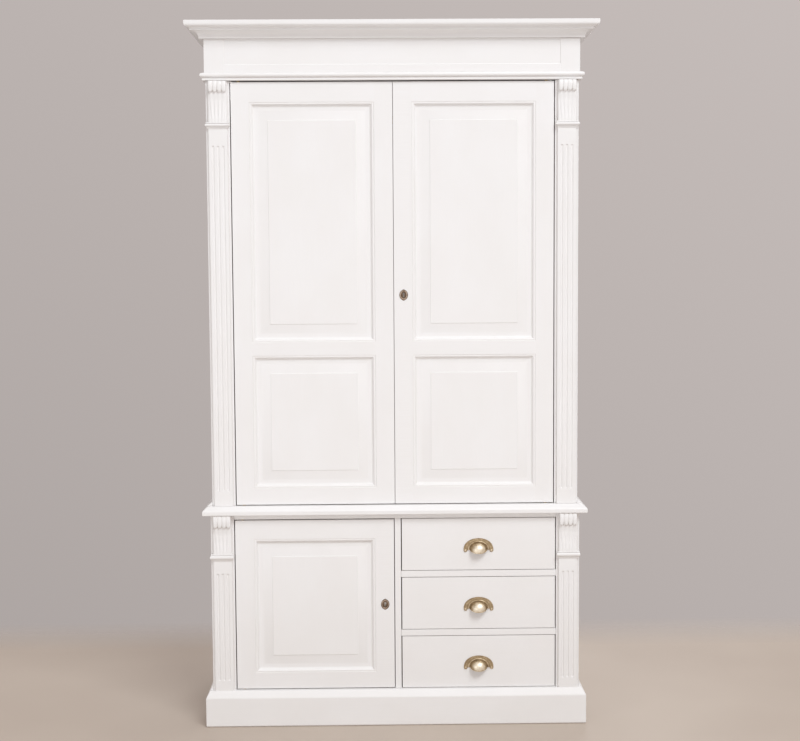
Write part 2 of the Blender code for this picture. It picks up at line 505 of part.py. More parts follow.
# ---------------------------------------------------------------- drawers with cup pulls
def cup_pull(name, cx, cz, y_face, empty):
    """An arched flange with two ears and a hollow half-dome that is open underneath."""
    outline = []
    for i in range(19):
        a = math.pi * i / 18
        outline.append((cx + PULL_HALF_W * math.cos(a), cz + PULL_H * math.sin(a) ** 0.85))
    for ear in (-1, 1):
        for i in range(1, 5):
            a = math.radians(180 + 180 * i / 5)
            outline.append((cx + ear * (PULL_HALF_W - 0.0055) + 0.0055 * math.cos(a), cz - 0.0005 + 0.0050 * math.sin(a)))
        if ear == -1:
            outline += [(cx - PULL_HALF_W + 0.0125, cz + 0.0006), (cx, cz + 0.0012), (cx + PULL_HALF_W - 0.0125, cz + 0.0006)]
    plate = prism(name, outline, (y_face - 0.0022, y_face - SKIN), "Y")
    middle = (cx, y_face - 0.0008, cz - 0.0002)
    shells = []
    for word, wall in (("bowl", 0.0), ("inside", 0.0018)):
        bpy.ops.mesh.primitive_uv_sphere_add(segments=20, ring_count=12, radius=1, location=middle)
        ball = bpy.context.active_object
        ball.data.transform(Matrix.Diagonal((BOWL_RX - wall, BOWL_RY - wall, BOWL_RZ - wall, 1)))
        shells.append(take(ball, f"{name}_{word}_cutter", True))
    bowl, inside = shells
    # cut away what is behind the drawer front, and everything below a line that drops towards the lip
    below = [(y_face + 0.05, cz + 0.0007), (y_face - 0.0015, cz + 0.0007), (y_face - 0.060, cz - 0.0225), (y_face - 0.060, cz - 0.08), (y_face + 0.05, cz - 0.08)]
    mouth = prism(f"{name}_mouth_cutter", below, (cx - 0.036, cx + 0.036), "X", cutter=True)
    behind = box(f"{name}_behind_cutter", (cx - 0.08, cx + 0.08), (y_face - 0.0010, y_face + 0.06), (cz - 0.06, cz + 0.06), True)
    cut(bowl, mouth, behind)
    union(plate, bowl)
    # the hollow runs from the face of the flange down through the mouth
    shelf = box(f"{name}_hollow_front", (cx - 0.06, cx + 0.06), (y_face - 0.08, y_face - 0.0019), (cz - 0.06, cz + 0.06), True)
    joined(inside, "INTERSECT", shelf)
    cut(plate, inside)
    return mount(paint(plate, BRASS, 0.35, 1.0), empty)


drawer_x = (PARTITION_X1 + GAP, LOW_OPEN - GAP / 2)
levels = ((RAIL_Z[0][1], LOW_Z1), (RAIL_Z[1][1], RAIL_Z[0][0]), (LOW_Z0, RAIL_Z[1][0]))
for word, (low, high) in zip(("top", "middle", "bottom"), levels):
    z0, z1 = low + GAP / 2, high - GAP / 2
    empty = axis_empty(f"drawer_{word}_slide_axis", ((drawer_x[0] + drawer_x[1]) / 2, Y_LOW, z0))
    front = paint(box(f"drawer_{word}_front", drawer_x, (Y_LOW, Y_LOW + BOARD), (z0, z1)), WHITE)
    bx = (drawer_x[0] + 0.0015, drawer_x[1] - 0.0015)
    y0, y1 = Y_LOW + BOARD + SKIN, Y_LOW + 0.480
    tray = box(f"drawer_{word}_box", bx, (y0, y1), (z0 - 0.0005, z1 - 0.022))
    cut(tray, box(f"drawer_{word}_inside_cutter", (bx[0] + 0.012, bx[1] - 0.012), (y0 - 0.05, y1 - 0.012), (z0 + 0.0105, z1 + 0.05), True))
    paint(tray, RAW_WOOD, 0.6)
    pull = cup_pull(f"drawer_{word}_pull", 0.2620, z1 - 0.1005, Y_LOW, empty)
    for piece in (front, tray):
        mount(piece, empty)

bpy.context.view_layer.update()
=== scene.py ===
"""Looks for a white-painted two-part armoire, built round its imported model. Metres, +Z up, the front faces -Y."""

import math

import bmesh
import bpy
import numpy as np
from mathutils import Matrix, Vector


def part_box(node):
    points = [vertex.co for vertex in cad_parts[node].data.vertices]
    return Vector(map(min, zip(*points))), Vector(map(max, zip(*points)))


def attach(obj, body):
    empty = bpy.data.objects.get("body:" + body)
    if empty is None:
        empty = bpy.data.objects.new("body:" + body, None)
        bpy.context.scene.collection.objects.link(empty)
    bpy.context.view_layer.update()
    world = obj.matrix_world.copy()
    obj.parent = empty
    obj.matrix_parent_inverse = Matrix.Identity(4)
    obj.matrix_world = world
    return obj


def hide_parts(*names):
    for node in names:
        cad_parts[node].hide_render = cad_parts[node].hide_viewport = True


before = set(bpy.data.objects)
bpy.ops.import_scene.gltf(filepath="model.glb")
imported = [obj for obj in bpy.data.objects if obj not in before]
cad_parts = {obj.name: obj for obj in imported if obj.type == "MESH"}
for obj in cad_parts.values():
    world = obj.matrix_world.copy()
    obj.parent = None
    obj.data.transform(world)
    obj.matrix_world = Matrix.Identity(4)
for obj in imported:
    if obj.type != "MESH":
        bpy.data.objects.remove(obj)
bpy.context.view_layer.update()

# ---------------------------------------------------------------- places, from the model's own boxes
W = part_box("upper_side_right")[1].x            # half width of the upper case
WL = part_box("lower_side_right")[1].x
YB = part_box("upper_back")[1].y                 # back
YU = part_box("upper_left_stile_left")[0].y      # front plane of the upper doors and posts
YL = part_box("lower_stile_left")[0].y
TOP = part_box("cornice")[1].z
Z_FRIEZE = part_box("frieze")[0].z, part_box("frieze")[1].z
Z_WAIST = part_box("waist_board")[0].z
BOARD = 0.022
UP_IN, LOW_IN = 0.5015, 0.5075                 # half widths of the openings
P_HALF = 0.02925                               # half width of a pilaster
P_OUT = 0.008                                  # how far a pilaster stands out
Z_WAIST_TOP = 0.7042
STICK_W, STICK_D = 0.0180, 0.0094              # moulding round the panels
MEET = 0.0008                                  # the upper doors' meeting edges stand this much closer than in the model


# ---------------------------------------------------------------- small helpers
def sstep(a, b, t):
    t = np.clip((np.asarray(t, float) - a) / (b - a), 0, 1)
    return t * t * (3 - 2 * t)


def rounded(points, radius, steps=4):
    """An open line of 2D points with its inner corners rounded. radius is one number, or one for each point."""
    radii = [radius] * len(points) if isinstance(radius, (int, float)) else radius
    out = [tuple(points[0])]
    for i in range(1, len(points) - 1):
        a, b, c = (np.array(points[j], float) for j in (i - 1, i, i + 1))
        r = radii[i]
        u, v = a - b, c - b
        lu, lv = np.linalg.norm(u), np.linalg.norm(v)
        r = min(r, lu * 0.45, lv * 0.45)
        if r <= 0:
            out.append(tuple(b))
            continue
        p, q = b + u / lu * r, b + v / lv * r
        for k in range(steps + 1):
            t = k / steps
            out.append(tuple((1 - t) ** 2 * p + 2 * t * (1 - t) * b + t * t * q))
    out.append(tuple(points[-1]))
    return out


def arc(cx, cy, rx, ry, a0, a1, n):
    return [(cx + rx * math.cos(math.radians(a0 + (a1 - a0) * i / n)), cy + ry * math.sin(math.radians(a0 + (a1 - a0) * i / n)))
            for i in range(n + 1)]


class Parts:
    """Closed shells gathered into one piece. Each has the direction of its grain, and its own place in the pattern."""
    count = 0

    def __init__(self):
        self.v, self.f, self.g, self.m, self.w = [], [], [], [], []

    def add(self, verts, faces, along="X", mat=0, grain=None, wear=None):
        verts = np.asarray(verts, float).reshape(-1, 3)
        n = sum(len(v) for v in self.v)
        Parts.count += 1
        shift = np.array([1.37, 0.73, 0.41]) * (Parts.count % 61)
        if grain is None:
            order = {"X": (0, 1, 2), "Y": (1, 0, 2), "Z": (2, 0, 1)}[along]
            grain = verts[:, order]
        self.v.append(verts)
        self.g.append(np.asarray(grain, float) + shift)
        self.w.append(np.zeros(len(verts)) if wear is None else np.asarray(wear, float))
        self.f += [tuple(n + i for i in face) for face in faces]
        self.m += [mat] * len(faces)
        return self

    def slab(self, x, y, z, along="X", bevel=0.0010, seg=2, mat=0):
        bm = bmesh.new()
        bmesh.ops.create_cube(bm, size=1)
        for v in bm.verts:
            v.co = ((x[0] + x[1]) / 2 + v.co.x * (x[1] - x[0]), (y[0] + y[1]) / 2 + v.co.y * (y[1] - y[0]), (z[0] + z[1]) / 2 + v.co.z * (z[1] - z[0]))
        bmesh.ops.bevel(bm, geom=bm.edges[:], offset=bevel, segments=seg, profile=0.5, affect="EDGES", clamp_overlap=True)
        return self.take(bm, along, mat)

    def prism(self, outline, span, axis, along, bevel=0.0006, seg=2, mat=0):
        """axis X: points are (y, z). Y: (x, z). Z: (x, y)."""
        place = {"X": lambda u, v, w: (w, u, v), "Y": lambda u, v, w: (u, w, v), "Z": lambda u, v, w: (u, v, w)}[axis]
        bm = bmesh.new()
        low = [bm.verts.new(place(u, v, span[0])) for u, v in outline]
        high = [bm.verts.new(place(u, v, span[1])) for u, v in outline]
        n = len(outline)
        bm.faces.new(low)
        bm.faces.new(high[::-1])
        for i in range(n):
            bm.faces.new((low[i], high[i], high[(i + 1) % n], low[(i + 1) % n]))
        bmesh.ops.recalc_face_normals(bm, faces=bm.faces[:])
        if bevel:
            sharp = [e for e in bm.edges if e.calc_face_angle(0) > 0.6]
            bmesh.ops.bevel(bm, geom=sharp, offset=bevel, segments=seg, profile=0.5, affect="EDGES", clamp_overlap=True)
        return self.take(bm, along, mat)

    def take(self, bm, along, mat):
        bm.verts.index_update()
        verts = [v.co[:] for v in bm.verts]
        faces = [[v.index for v in f.verts] for f in bm.faces]
        bm.free()
        return self.add(verts, faces, along, mat)

    def loops(self, rings, closed_across, closed_along, along="X", mat=0, caps=False, grain=None, wear=None):
        """Quads between rings of equal length. closed_across: each ring closes. closed_along: the last ring meets the first."""
        n = len(rings[0])
        faces = []
        for i in range(len(rings) - (0 if closed_along else 1)):
            j = (i + 1) % len(rings)
            for k in range(n - (0 if closed_across else 1)):
                m = (k + 1) % n
                faces.append((i * n + k, i * n + m, j * n + m, j * n + k))
        if caps:
            faces.append(tuple(range(n)))
            faces.append(tuple((len(rings) - 1) * n + k for k in reversed(range(n))))
        flat = [p for ring in rings for p in ring]
        return self.add(flat, faces, along, mat, grain, wear)

    def sweep(self, section, half_w, y_front, y_back, r=0.0012, steps=4, mat=0):
        """A closed section of (how far out, height), carried along the left side, the front and the right side."""
        rings, grains = [], []
        for o, z in section:
            wx, y = half_w + o, y_front - o
            path = [(-wx, y_back), (-wx, y + r)]
            path += [(-wx + r - r * math.cos(math.pi / 2 * k / steps), y + r - r * math.sin(math.pi / 2 * k / steps)) for k in range(1, steps)]
            path += [(-wx + r, y), (wx - r, y)]
            path += [(wx - r + r * math.sin(math.pi / 2 * k / steps), y + r - r * math.cos(math.pi / 2 * k / steps)) for k in range(1, steps)]
            path += [(wx, y + r), (wx, y_back)]
            rings.append([(px, py, z) for px, py in path])
            s = [y_back - y_front if k < 2 else 0 for k in range(len(path))]
            run = [-(y_back - py) - half_w if k <= steps else ((y_back - py) + half_w if k >= len(path) - steps - 1 else px)
                   for k, (px, py) in enumerate(path)]
            grains += [(t, o, z) for t in run]
            del s
        n = len(rings[0])
        faces = []
        m = len(rings)
        for i in range(m):
            j = (i + 1) % m
            for k in range(n - 1):
                faces.append((i * n + k, i * n + k + 1, j * n + k + 1, j * n + k))
        faces.append(tuple(i * n for i in range(m)))
        faces.append(tuple(i * n + n - 1 for i in reversed(range(m))))
        return self.add([p for ring in rings for p in ring], faces, grain=grains, mat=mat)

    def lathe(self, profile, centre, axis="Z", sides=40, mat=0, along="Z", wear=0.0):
        """profile is (distance along the axis, radius), from one end to the other. The ends are closed."""
        turn = {"Z": lambda a, c, s: (c, s, a), "X": lambda a, c, s: (a, c, s), "Y": lambda a, c, s: (c, a, s)}[axis]
        rings = []
        for a, r in profile:
            rings.append([tuple(np.array(turn(a, r * math.cos(2 * math.pi * k / sides), r * math.sin(2 * math.pi * k / sides))) + np.array(centre))
                          for k in range(sides)])
        return self.loops(rings, True, False, along, mat, caps=True, wear=np.full(len(rings) * sides, wear))

    def done(self, name, body, mats, nodes, sharp=33, weighted=True):
        mesh = bpy.data.meshes.new(name)
        mesh.from_pydata(np.concatenate(self.v).tolist(), [], self.f)
        for mat in mats:
            mesh.materials.append(mat)
        mesh.polygons.foreach_set("material_index", self.m)
        bm = bmesh.new()
        bm.from_mesh(mesh)
        bmesh.ops.recalc_face_normals(bm, faces=bm.faces[:])
        bm.to_mesh(mesh)
        bm.free()
        mesh.attributes.new("grain", "FLOAT_VECTOR", "POINT").data.foreach_set("vector", np.concatenate(self.g).astype(np.float32).ravel())
        mesh.attributes.new("wear", "FLOAT", "POINT").data.foreach_set("value", np.concatenate(self.w).astype(np.float32))
        obj = bpy.data.objects.new(name, mesh)
        bpy.context.scene.collection.objects.link(obj)
        mesh.shade_smooth()
        mesh.set_sharp_from_angle(angle=math.radians(sharp))
        if weighted:
            mod = obj.modifiers.new("weights", "WEIGHTED_NORMAL")
            mod.keep_sharp = True
            mod.weight = 100
        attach(obj, body)
        if nodes:
            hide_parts(*nodes)
        return obj


def carve(obj, cutters):
    """Cuts other shapes out of a piece, for good."""
    first = obj.modifiers[0] if obj.modifiers else None
    if first:
        obj.modifiers.remove(first)
    for c in cutters:
        step = obj.modifiers.new("cut", "BOOLEAN")
        step.operation, step.solver, step.object = "DIFFERENCE", "EXACT", c
    bpy.context.view_layer.update()
    graph = bpy.context.evaluated_depsgraph_get()
    mesh = bpy.data.meshes.new_from_object(obj.evaluated_get(graph))
    obj.modifiers.clear()
    obj.data = mesh
    mesh.shade_smooth()
    mesh.set_sharp_from_angle(angle=math.radians(33))
    for c in cutters:
        bpy.data.objects.remove(c)
    mod = obj.modifiers.new("weights", "WEIGHTED_NORMAL")
    mod.keep_sharp = True
    mod.weight = 100
    return obj


def cutter(parts):
    mesh = bpy.data.meshes.new("cutter")
    mesh.from_pydata(np.concatenate(parts.v).tolist(), [], parts.f)
    bm = bmesh.new()
    bm.from_mesh(mesh)
    bmesh.ops.recalc_face_normals(bm, faces=bm.faces[:])
    bm.to_mesh(mesh)
    bm.free()
    obj = bpy.data.objects.new("cutter", mesh)
    bpy.context.scene.collection.objects.link(obj)
    return obj


# ---------------------------------------------------------------- materials
class Nodes:
    def __init__(self, name):
        self.mat = bpy.data.materials.new(name)
        self.mat.use_nodes = True
        self.tree = self.mat.node_tree
        self.bsdf = self.tree.nodes["Principled BSDF"]

    def node(self, kind, **values):
        n = self.tree.nodes.new(kind)
        for key, value in values.items():
            if hasattr(n, key):
                setattr(n, key, value)
            else:
                n.inputs[key].default_value = value
        return n

    def link(self, a, b):
        self.tree.links.new(a, b)

    def coords(self, scale, name="grain"):
        at = self.node("ShaderNodeAttribute", attribute_name=name)
        m = self.node("ShaderNodeMapping")
        m.inputs["Scale"].default_value = scale
        self.link(at.outputs["Vector"], m.inputs["Vector"])
        return m.outputs[0]

    def noise(self, scale, stretch=(1, 1, 1), detail=2.0, rough=0.5, distortion=0.0):
        n = self.node("ShaderNodeTexNoise")
        n.inputs["Scale"].default_value = scale
        n.inputs["Detail"].default_value = detail
        n.inputs["Roughness"].default_value = rough
        n.inputs["Distortion"].default_value = distortion
        self.link(self.coords(stretch), n.inputs["Vector"])
        return n.outputs["Fac"]

    def ramp(self, fac, a, b, lo=0.0, hi=1.0):
        n = self.node("ShaderNodeMapRange")
        n.inputs["From Min"].default_value, n.inputs["From Max"].default_value = lo, hi
        n.inputs["To Min"].default_value, n.inputs["To Max"].default_value = a, b
        self.link(fac, n.inputs["Value"])
        return n.outputs[0]

    def mix(self, fac, a, b, blend="MIX"):
        n = self.node("ShaderNodeMix", data_type="RGBA", blend_type=blend)
        for socket, value in ((0, fac), (6, a), (7, b)):
            if hasattr(value, "links") or hasattr(value, "is_output"):
                self.link(value, n.inputs[socket])
            else:
                n.inputs[socket].default_value = value
        return n.outputs[2]

    def bump(self, height, distance, strength=1.0, normal=None):
        n = self.node("ShaderNodeBump")
        n.inputs["Distance"].default_value = distance
        n.inputs["Strength"].default_value = strength
        self.link(height, n.inputs["Height"])
        if normal is not None:
            self.link(normal, n.inputs["Normal"])
        return n.outputs[0]

    def math(self, op, a, b=0.0):
        n = self.node("ShaderNodeMath", operation=op)
        for i, value in enumerate((a, b)):
            if hasattr(value, "is_output"):
                self.link(value, n.inputs[i])
            else:
                n.inputs[i].default_value = value
        return n.outputs[0]


def white_paint(name="white_paint", base=(0.868, 0.866, 0.868), painted_crevice_shade=True):
    """Satin paint laid with a brush along the grain: faint strokes and the wood's grain showing under them.
    Its colour also carries a painted warm grey shade in corners, gaps and crevices, wherever ambient occlusion finds
    them."""
    m = Nodes(name)
    slow = m.noise(5.0, (1, 1.6, 1.6), 3.0)
    strokes = m.noise(1.0, (9, 420, 420), 3.0, 0.6)
    grain = m.noise(1.0, (3.5, 70, 70), 4.0, 0.55, 0.4)
    light = (*base, 1)
    dark = (base[0] * 0.982, base[1] * 0.977, base[2] * 0.970, 1)
    colour = m.mix(m.ramp(slow, 0, 1, 0.35, 0.65), dark, light)
    fine = m.mix(m.ramp(strokes, 0.0, 0.4, 0.35, 0.75), colour, (base[0] * 0.975, base[1] * 0.968, base[2] * 0.958, 1))
    # painted shade: the paint colour is darkened to a warm grey-brown in corners, gaps and crevices, found by ambient
    # occlusion
    if painted_crevice_shade:
        ao = m.node("ShaderNodeAmbientOcclusion", samples=6)
        ao.inputs["Distance"].default_value = 0.006
        fine = m.mix(m.ramp(ao.outputs["AO"], 0.32, 0, 0.20, 0.90), fine, (base[0] * 0.90, base[1] * 0.82, base[2] * 0.75, 1))
    m.link(fine, m.bsdf.inputs["Base Color"])
    m.link(m.ramp(m.noise(26, (1, 6, 6), 3.0), 0.34, 0.50, 0.3, 0.7), m.bsdf.inputs["Roughness"])
    n1 = m.bump(grain, 0.00010, 0.55)
    n2 = m.bump(strokes, 0.00005, 0.55, n1)
    m.link(n2, m.bsdf.inputs["Normal"])
    m.bsdf.inputs["Specular IOR Level"].default_value = 0.42
    return m.mat


def raw_wood(name, light, dark, rough=0.62):
    """Planed softwood: growth rings stretched along the board, fine pores and a few darker streaks."""
    m = Nodes(name)
    warp = m.noise(2.2, (0.5, 3, 3), 2.0)
    rings = m.noise(1.0, (1.3, 24, 24), 3.0, 0.55, 0.7)
    pores = m.noise(1.0, (30, 900, 900), 2.0, 0.6)
    base = m.mix(m.ramp(rings, 0, 0.75, 0.40, 0.66), (*light, 1), (*dark, 1))
    base = m.mix(m.ramp(warp, 0, 0.35, 0.35, 0.7), base, (light[0] * 0.80, light[1] * 0.72, light[2] * 0.62, 1))
    base = m.mix(m.ramp(pores, 0.25, 0, 0.30, 0.5), base, (dark[0] * 0.6, dark[1] * 0.55, dark[2] * 0.5, 1))
    m.link(base, m.bsdf.inputs["Base Color"])
    m.link(m.ramp(pores, rough + 0.10, rough - 0.06, 0.3, 0.7), m.bsdf.inputs["Roughness"])
    n1 = m.bump(rings, 0.00012, 0.5)
    m.link(m.bump(pores, 0.00005, 0.5, n1), m.bsdf.inputs["Normal"])
    return m.mat


def old_metal(name, bright, mid, dark, rough=(0.26, 0.48), speck=0.35, wear_from=0.15, wear_to=0.85):
    """Cast metal with a brown patina left in the hollows and rubbed bright where hands touch it."""
    m = Nodes(name)
    wear = m.node("ShaderNodeAttribute", attribute_name="wear").outputs["Fac"]
    cloud = m.noise(95, (1, 1, 1), 4.0, 0.6)
    pits = m.noise(620, (1, 1, 1), 2.0, 0.6)
    rub = m.math("ADD", wear, m.ramp(cloud, -0.28, 0.28, 0.25, 0.75))
    base = m.mix(m.ramp(rub, 0, 1, wear_from - 0.25, 0.5), (*dark, 1), (*mid, 1))
    base = m.mix(m.ramp(rub, 0, 1, 0.45, wear_to), base, (*bright, 1))
    base = m.mix(m.ramp(pits, speck, 0, 0.28, 0.46), base, (dark[0] * 0.6, dark[1] * 0.55, dark[2] * 0.5, 1))
    m.link(base, m.bsdf.inputs["Base Color"])
    m.link(m.ramp(rub, rough[1], rough[0], 0.0, 0.9), m.bsdf.inputs["Roughness"])
    n1 = m.bump(cloud, 0.00018, 0.5)
    m.link(m.bump(pits, 0.00007, 0.6, n1), m.bsdf.inputs["Normal"])
    m.bsdf.inputs["Metallic"].default_value = 1.0
    return m.mat


def machined(name, colour, rough):
    m = Nodes(name)
    lines = m.noise(1.0, (40, 1400, 1400), 2.0, 0.6)
    cloud = m.noise(60, (1, 1, 1), 3.0)
    base = m.mix(m.ramp(cloud, 0, 0.7, 0.4, 0.75), (*colour, 1), (colour[0] * 0.55, colour[1] * 0.5, colour[2] * 0.42, 1))
    m.link(base, m.bsdf.inputs["Base Color"])
    m.link(m.ramp(lines, rough - 0.06, rough + 0.12, 0.3, 0.7), m.bsdf.inputs["Roughness"])
    m.link(m.bump(lines, 0.00003, 0.5), m.bsdf.inputs["Normal"])
    m.bsdf.inputs["Metallic"].default_value = 1.0
    return m.mat


PAINT = white_paint()
INSIDE = white_paint("white_paint_inside", (0.83, 0.80, 0.775))
WOOD = raw_wood("drawer_pine", (0.66, 0.46, 0.27), (0.50, 0.31, 0.16))
PULL = old_metal("antique_brass", (0.95, 0.86, 0.70), (0.56, 0.44, 0.28), (0.30, 0.215, 0.125), (0.50, 0.66), 0.25)
BRONZE = old_metal("bronze_escutcheon", (0.62, 0.50, 0.40), (0.27, 0.19, 0.13), (0.075, 0.045, 0.03), (0.34, 0.52))
BRASS = machined("brass_pins", (0.72, 0.55, 0.28), 0.30)
STEEL = machined("steel_lock", (0.56, 0.55, 0.53), 0.34)

# ---------------------------------------------------------------- cornice
z0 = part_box("cornice")[0].z
line = rounded([(0.0168, z0), (0.0175, z0 + 0.0065), (0.0185, z0 + 0.0070)], [0, 0.0006, 0], 3)
line += arc(0.0395, z0 + 0.0070, 0.0210, 0.0152, 180, 90, 12)[1:]
line += rounded([(0.0410, z0 + 0.0224), (0.0414, z0 + 0.0290), (0.0440, z0 + 0.0304)], [0, 0.0007, 0], 3)[0:]
line += [(0.0440 + 0.0125 * math.sin(a), z0 + 0.0306 + 0.0074 * (1 - math.cos(a))) for a in np.radians(np.linspace(8, 88, 10))]
line += rounded([(0.0566, z0 + 0.0384), (0.0570, z0 + 0.0392), (0.0570, TOP), (0.0500, TOP)], [0, 0.0004, 0.0011, 0], 4)
section = line + rounded([(0.0, TOP), (-0.0450, TOP), (-0.0450, z0 + 0.0010), (-0.010, z0)], [0, 0.001, 0.001, 0], 2)
p = Parts()
p.sweep(section, W, YU, YB)
edges = np.linspace(YU + 0.0455, YB - 0.0005, 6)
for a, b in zip(edges[:-1], edges[1:]):
    p.slab((-0.5310, 0.5310), (a + 0.0004, b - 0.0004), (z0 + 0.0005, z0 + 0.0120), "X", 0.0012)
p.done("cornice_moulding", "case", [PAINT], ["cornice"])

# ---------------------------------------------------------------- frieze with its astragal
f0, f1 = Z_FRIEZE
FH = W + 0.0025
YF = YU - 0.0080
p = Parts()
p.sweep(rounded([(-0.021, f0 + 0.001), (0.0, f0 + 0.001), (0.0, f1), (-0.021, f1)], 0, 2), FH, YF, YB)
for s in (-1, 1):
    x = sorted((s * (FH - 0.0605), s * FH))
    p.slab((x[0] - (0.0002 if s < 0 else 0), x[1] + (0.0002 if s > 0 else 0)), (YF - 0.0019, YF + 0.004), (f0 + 0.020, f1 - 0.0002), "Z", 0.0009, 3)
p.prism([(YF + 0.002, f0 + 0.020), (YF - 0.0019, f0 + 0.020), (YF - 0.0019, f0 + 0.0470), (YF - 0.0004, f0 + 0.0496), (YF + 0.002, f0 + 0.0496)],
        (-FH + 0.0602, FH - 0.0602), "X", "X", 0.0006, 3)
bead = rounded([(-0.016, f0 + 0.0016), (0.0090, f0 + 0.0016), (0.0097, f0 + 0.0024), (0.0097, f0 + 0.0094), (0.0088, f0 + 0.0100), (0.0086, f0 + 0.0104)],
               [0, 0.0004, 0.0004, 0.0006, 0.0003, 0], 3)
bead += arc(0.0092, f0 + 0.0172, 0.0070, 0.0069, -82, 86, 16)
bead += [(0.0080, f0 + 0.0246), (0.0062, f0 + 0.0256), (-0.016, f0 + 0.0260)]
p.sweep(bead, W, YU, YB - 0.0004)
p.done("frieze_and_astragal", "case", [PAINT], ["frieze"])

# ---------------------------------------------------------------- waist board
w0, w1, w2 = Z_WAIST, 0.6900, Z_WAIST_TOP
edge = rounded([(-0.060, w0), (0.0280, w0), (0.0293, w0 + 0.0016), (0.0295, w1 - 0.0006), (0.0262, w1 + 0.0036), (0.0215, w1 + 0.0074), (0.0142, w2), (-0.060, w2)],
               [0, 0.0008, 0.0010, 0.0022, 0.0030, 0.0040, 0.0012, 0], 4)
p = Parts()
p.sweep(edge, W, YU, YB)
for a, b in ((YU + 0.060, YU + 0.250), (YU + 0.250, YU + 0.410), (YU + 0.410, YB)):
    p.slab((-W + 0.0597, W - 0.0597), (a + 0.0003, b - 0.0003), (w0, w2), "X", 0.0008)
for s in (-1, 1):
    strip = rounded([(s * (W + 0.0003), w2 - 0.004), (s * (W + 0.0003), w2 + 0.0124), (s * (W + 0.0016), w2 + 0.0124), (s * (W + 0.0138), w2 + 0.0006), (s * (W + 0.0138), w2 - 0.004)],
                    [0, 0.0003, 0.0008, 0.0008, 0], 3)
    p.prism(strip, (YU + 0.0002, YB - 0.0005), "Y", "Y", 0)
p.done("waist_board_moulded", "case", [PAINT], ["waist_board"])

# ---------------------------------------------------------------- plinth
PO = 0.0213
p = Parts()
face = rounded([(0.0004, 0.0), (PO - 0.0036, 0.0), (PO, 0.0034), (PO, 0.0918), (PO - 0.0012, 0.0948), (0.0100, 0.1136), (0.0004, 0.1140)],
               [0, 0.0006, 0.0008, 0.0016, 0.0020, 0.0014, 0], 4)
p.sweep(face, WL, YL, YB)
for s in (-1, 1):
    strip = rounded([(s * (WL + 0.0004), 0.1095), (s * (WL + 0.0004), 0.1322), (s * (WL + 0.0014), 0.1322), (s * (WL + 0.0094), 0.1140), (s * (WL + 0.0094), 0.1095)],
                    [0, 0.0003, 0.0007, 0.0008, 0], 3)
    p.prism(strip, (YL + 0.0002, YB - 0.0005), "Y", "Y", 0)
p.done("plinth_moulded", "case", [PAINT], ["plinth"])


# ---------------------------------------------------------------- corner posts: pilaster, corbel, leaf and ring
def relief(p, us, vs, point, height, back, along="Z"):
    """A closed block whose front is height(u, v) out from its back. point(u, v, out) gives the place in space."""
    U, V = np.meshgrid(us, vs, indexing="ij")
    H = height(U, V)
    nu, nv = len(us), len(vs)
    front = [point(U[i, j], V[i, j], H[i, j]) for i in range(nu) for j in range(nv)]
    border = [(i, 0) for i in range(nu)] + [(nu - 1, j) for j in range(1, nv)] + [(i, nv - 1) for i in range(nu - 2, -1, -1)] + [(0, j) for j in range(nv - 2, 0, -1)]
    rim = [point(U[i, j], V[i, j], back) for i, j in border]
    verts = front + rim + [point((us[0] + us[-1]) / 2, (vs[0] + vs[-1]) / 2, back)]
    faces = [(i * nv + j, (i + 1) * nv + j, (i + 1) * nv + j + 1, i * nv + j + 1) for i in range(nu - 1) for j in range(nv - 1)]
    n0, nb = nu * nv, len(border)
    for k in range(nb):
        m = (k + 1) % nb
        a, b = border[k], border[m]
        faces.append((a[0] * nv + a[1], n0 + k, n0 + m, b[0] * nv + b[1]))
        faces.append((n0 + k, n0 + nb, n0 + m))
    return p.add(verts, faces, along)


FLUTE_PITCH, FLUTE_R, FLUTE_IN = 0.0157, 0.0042, 0.0012


def pilaster(p, xc, y_face, z_lo, z_hi, flute_z):
    half = math.sqrt(FLUTE_R ** 2 - FLUTE_IN ** 2)
    us = [-P_HALF, -P_HALF + 0.0005, -P_HALF + 0.0012]
    for c in (-FLUTE_PITCH, 0, FLUTE_PITCH):
        us += [c - half - 0.0006] + [c + half * math.sin(math.radians(a)) for a in np.linspace(-90, 90, 13)] + [c + half + 0.0006]
    us += [P_HALF - 0.0012, P_HALF - 0.0005, P_HALF]
    a, b = flute_z[0] + half, flute_z[1] - half
    ends = np.linspace(-half - 0.0006, 0.0, 13)
    vs = [z_lo, flute_z[0] - 0.004] + [a + e for e in ends] + list(np.linspace(a, b, 8)[1:-1]) + [b - e for e in ends[::-1]] + [flute_z[1] + 0.004, z_hi]

    def height(u, v):
        h = np.full_like(u, P_OUT)
        for c in (-FLUTE_PITCH, 0, FLUTE_PITCH):
            dz = np.maximum(np.maximum(a - v, v - b), 0)
            d2 = (u - c) ** 2 + dz ** 2
            deep = np.sqrt(np.maximum(FLUTE_R ** 2 - d2, 0)) - FLUTE_IN
            h = np.minimum(h, P_OUT - np.maximum(deep, 0))
        rim = np.clip((P_HALF - np.abs(u)) / 0.0012, 0, 1)
        return h - 0.0010 * (1 - np.sqrt(1 - (1 - rim) ** 2))

    relief(p, us, vs, lambda u, v, h: (xc + u, y_face - h, v), height, -0.004)


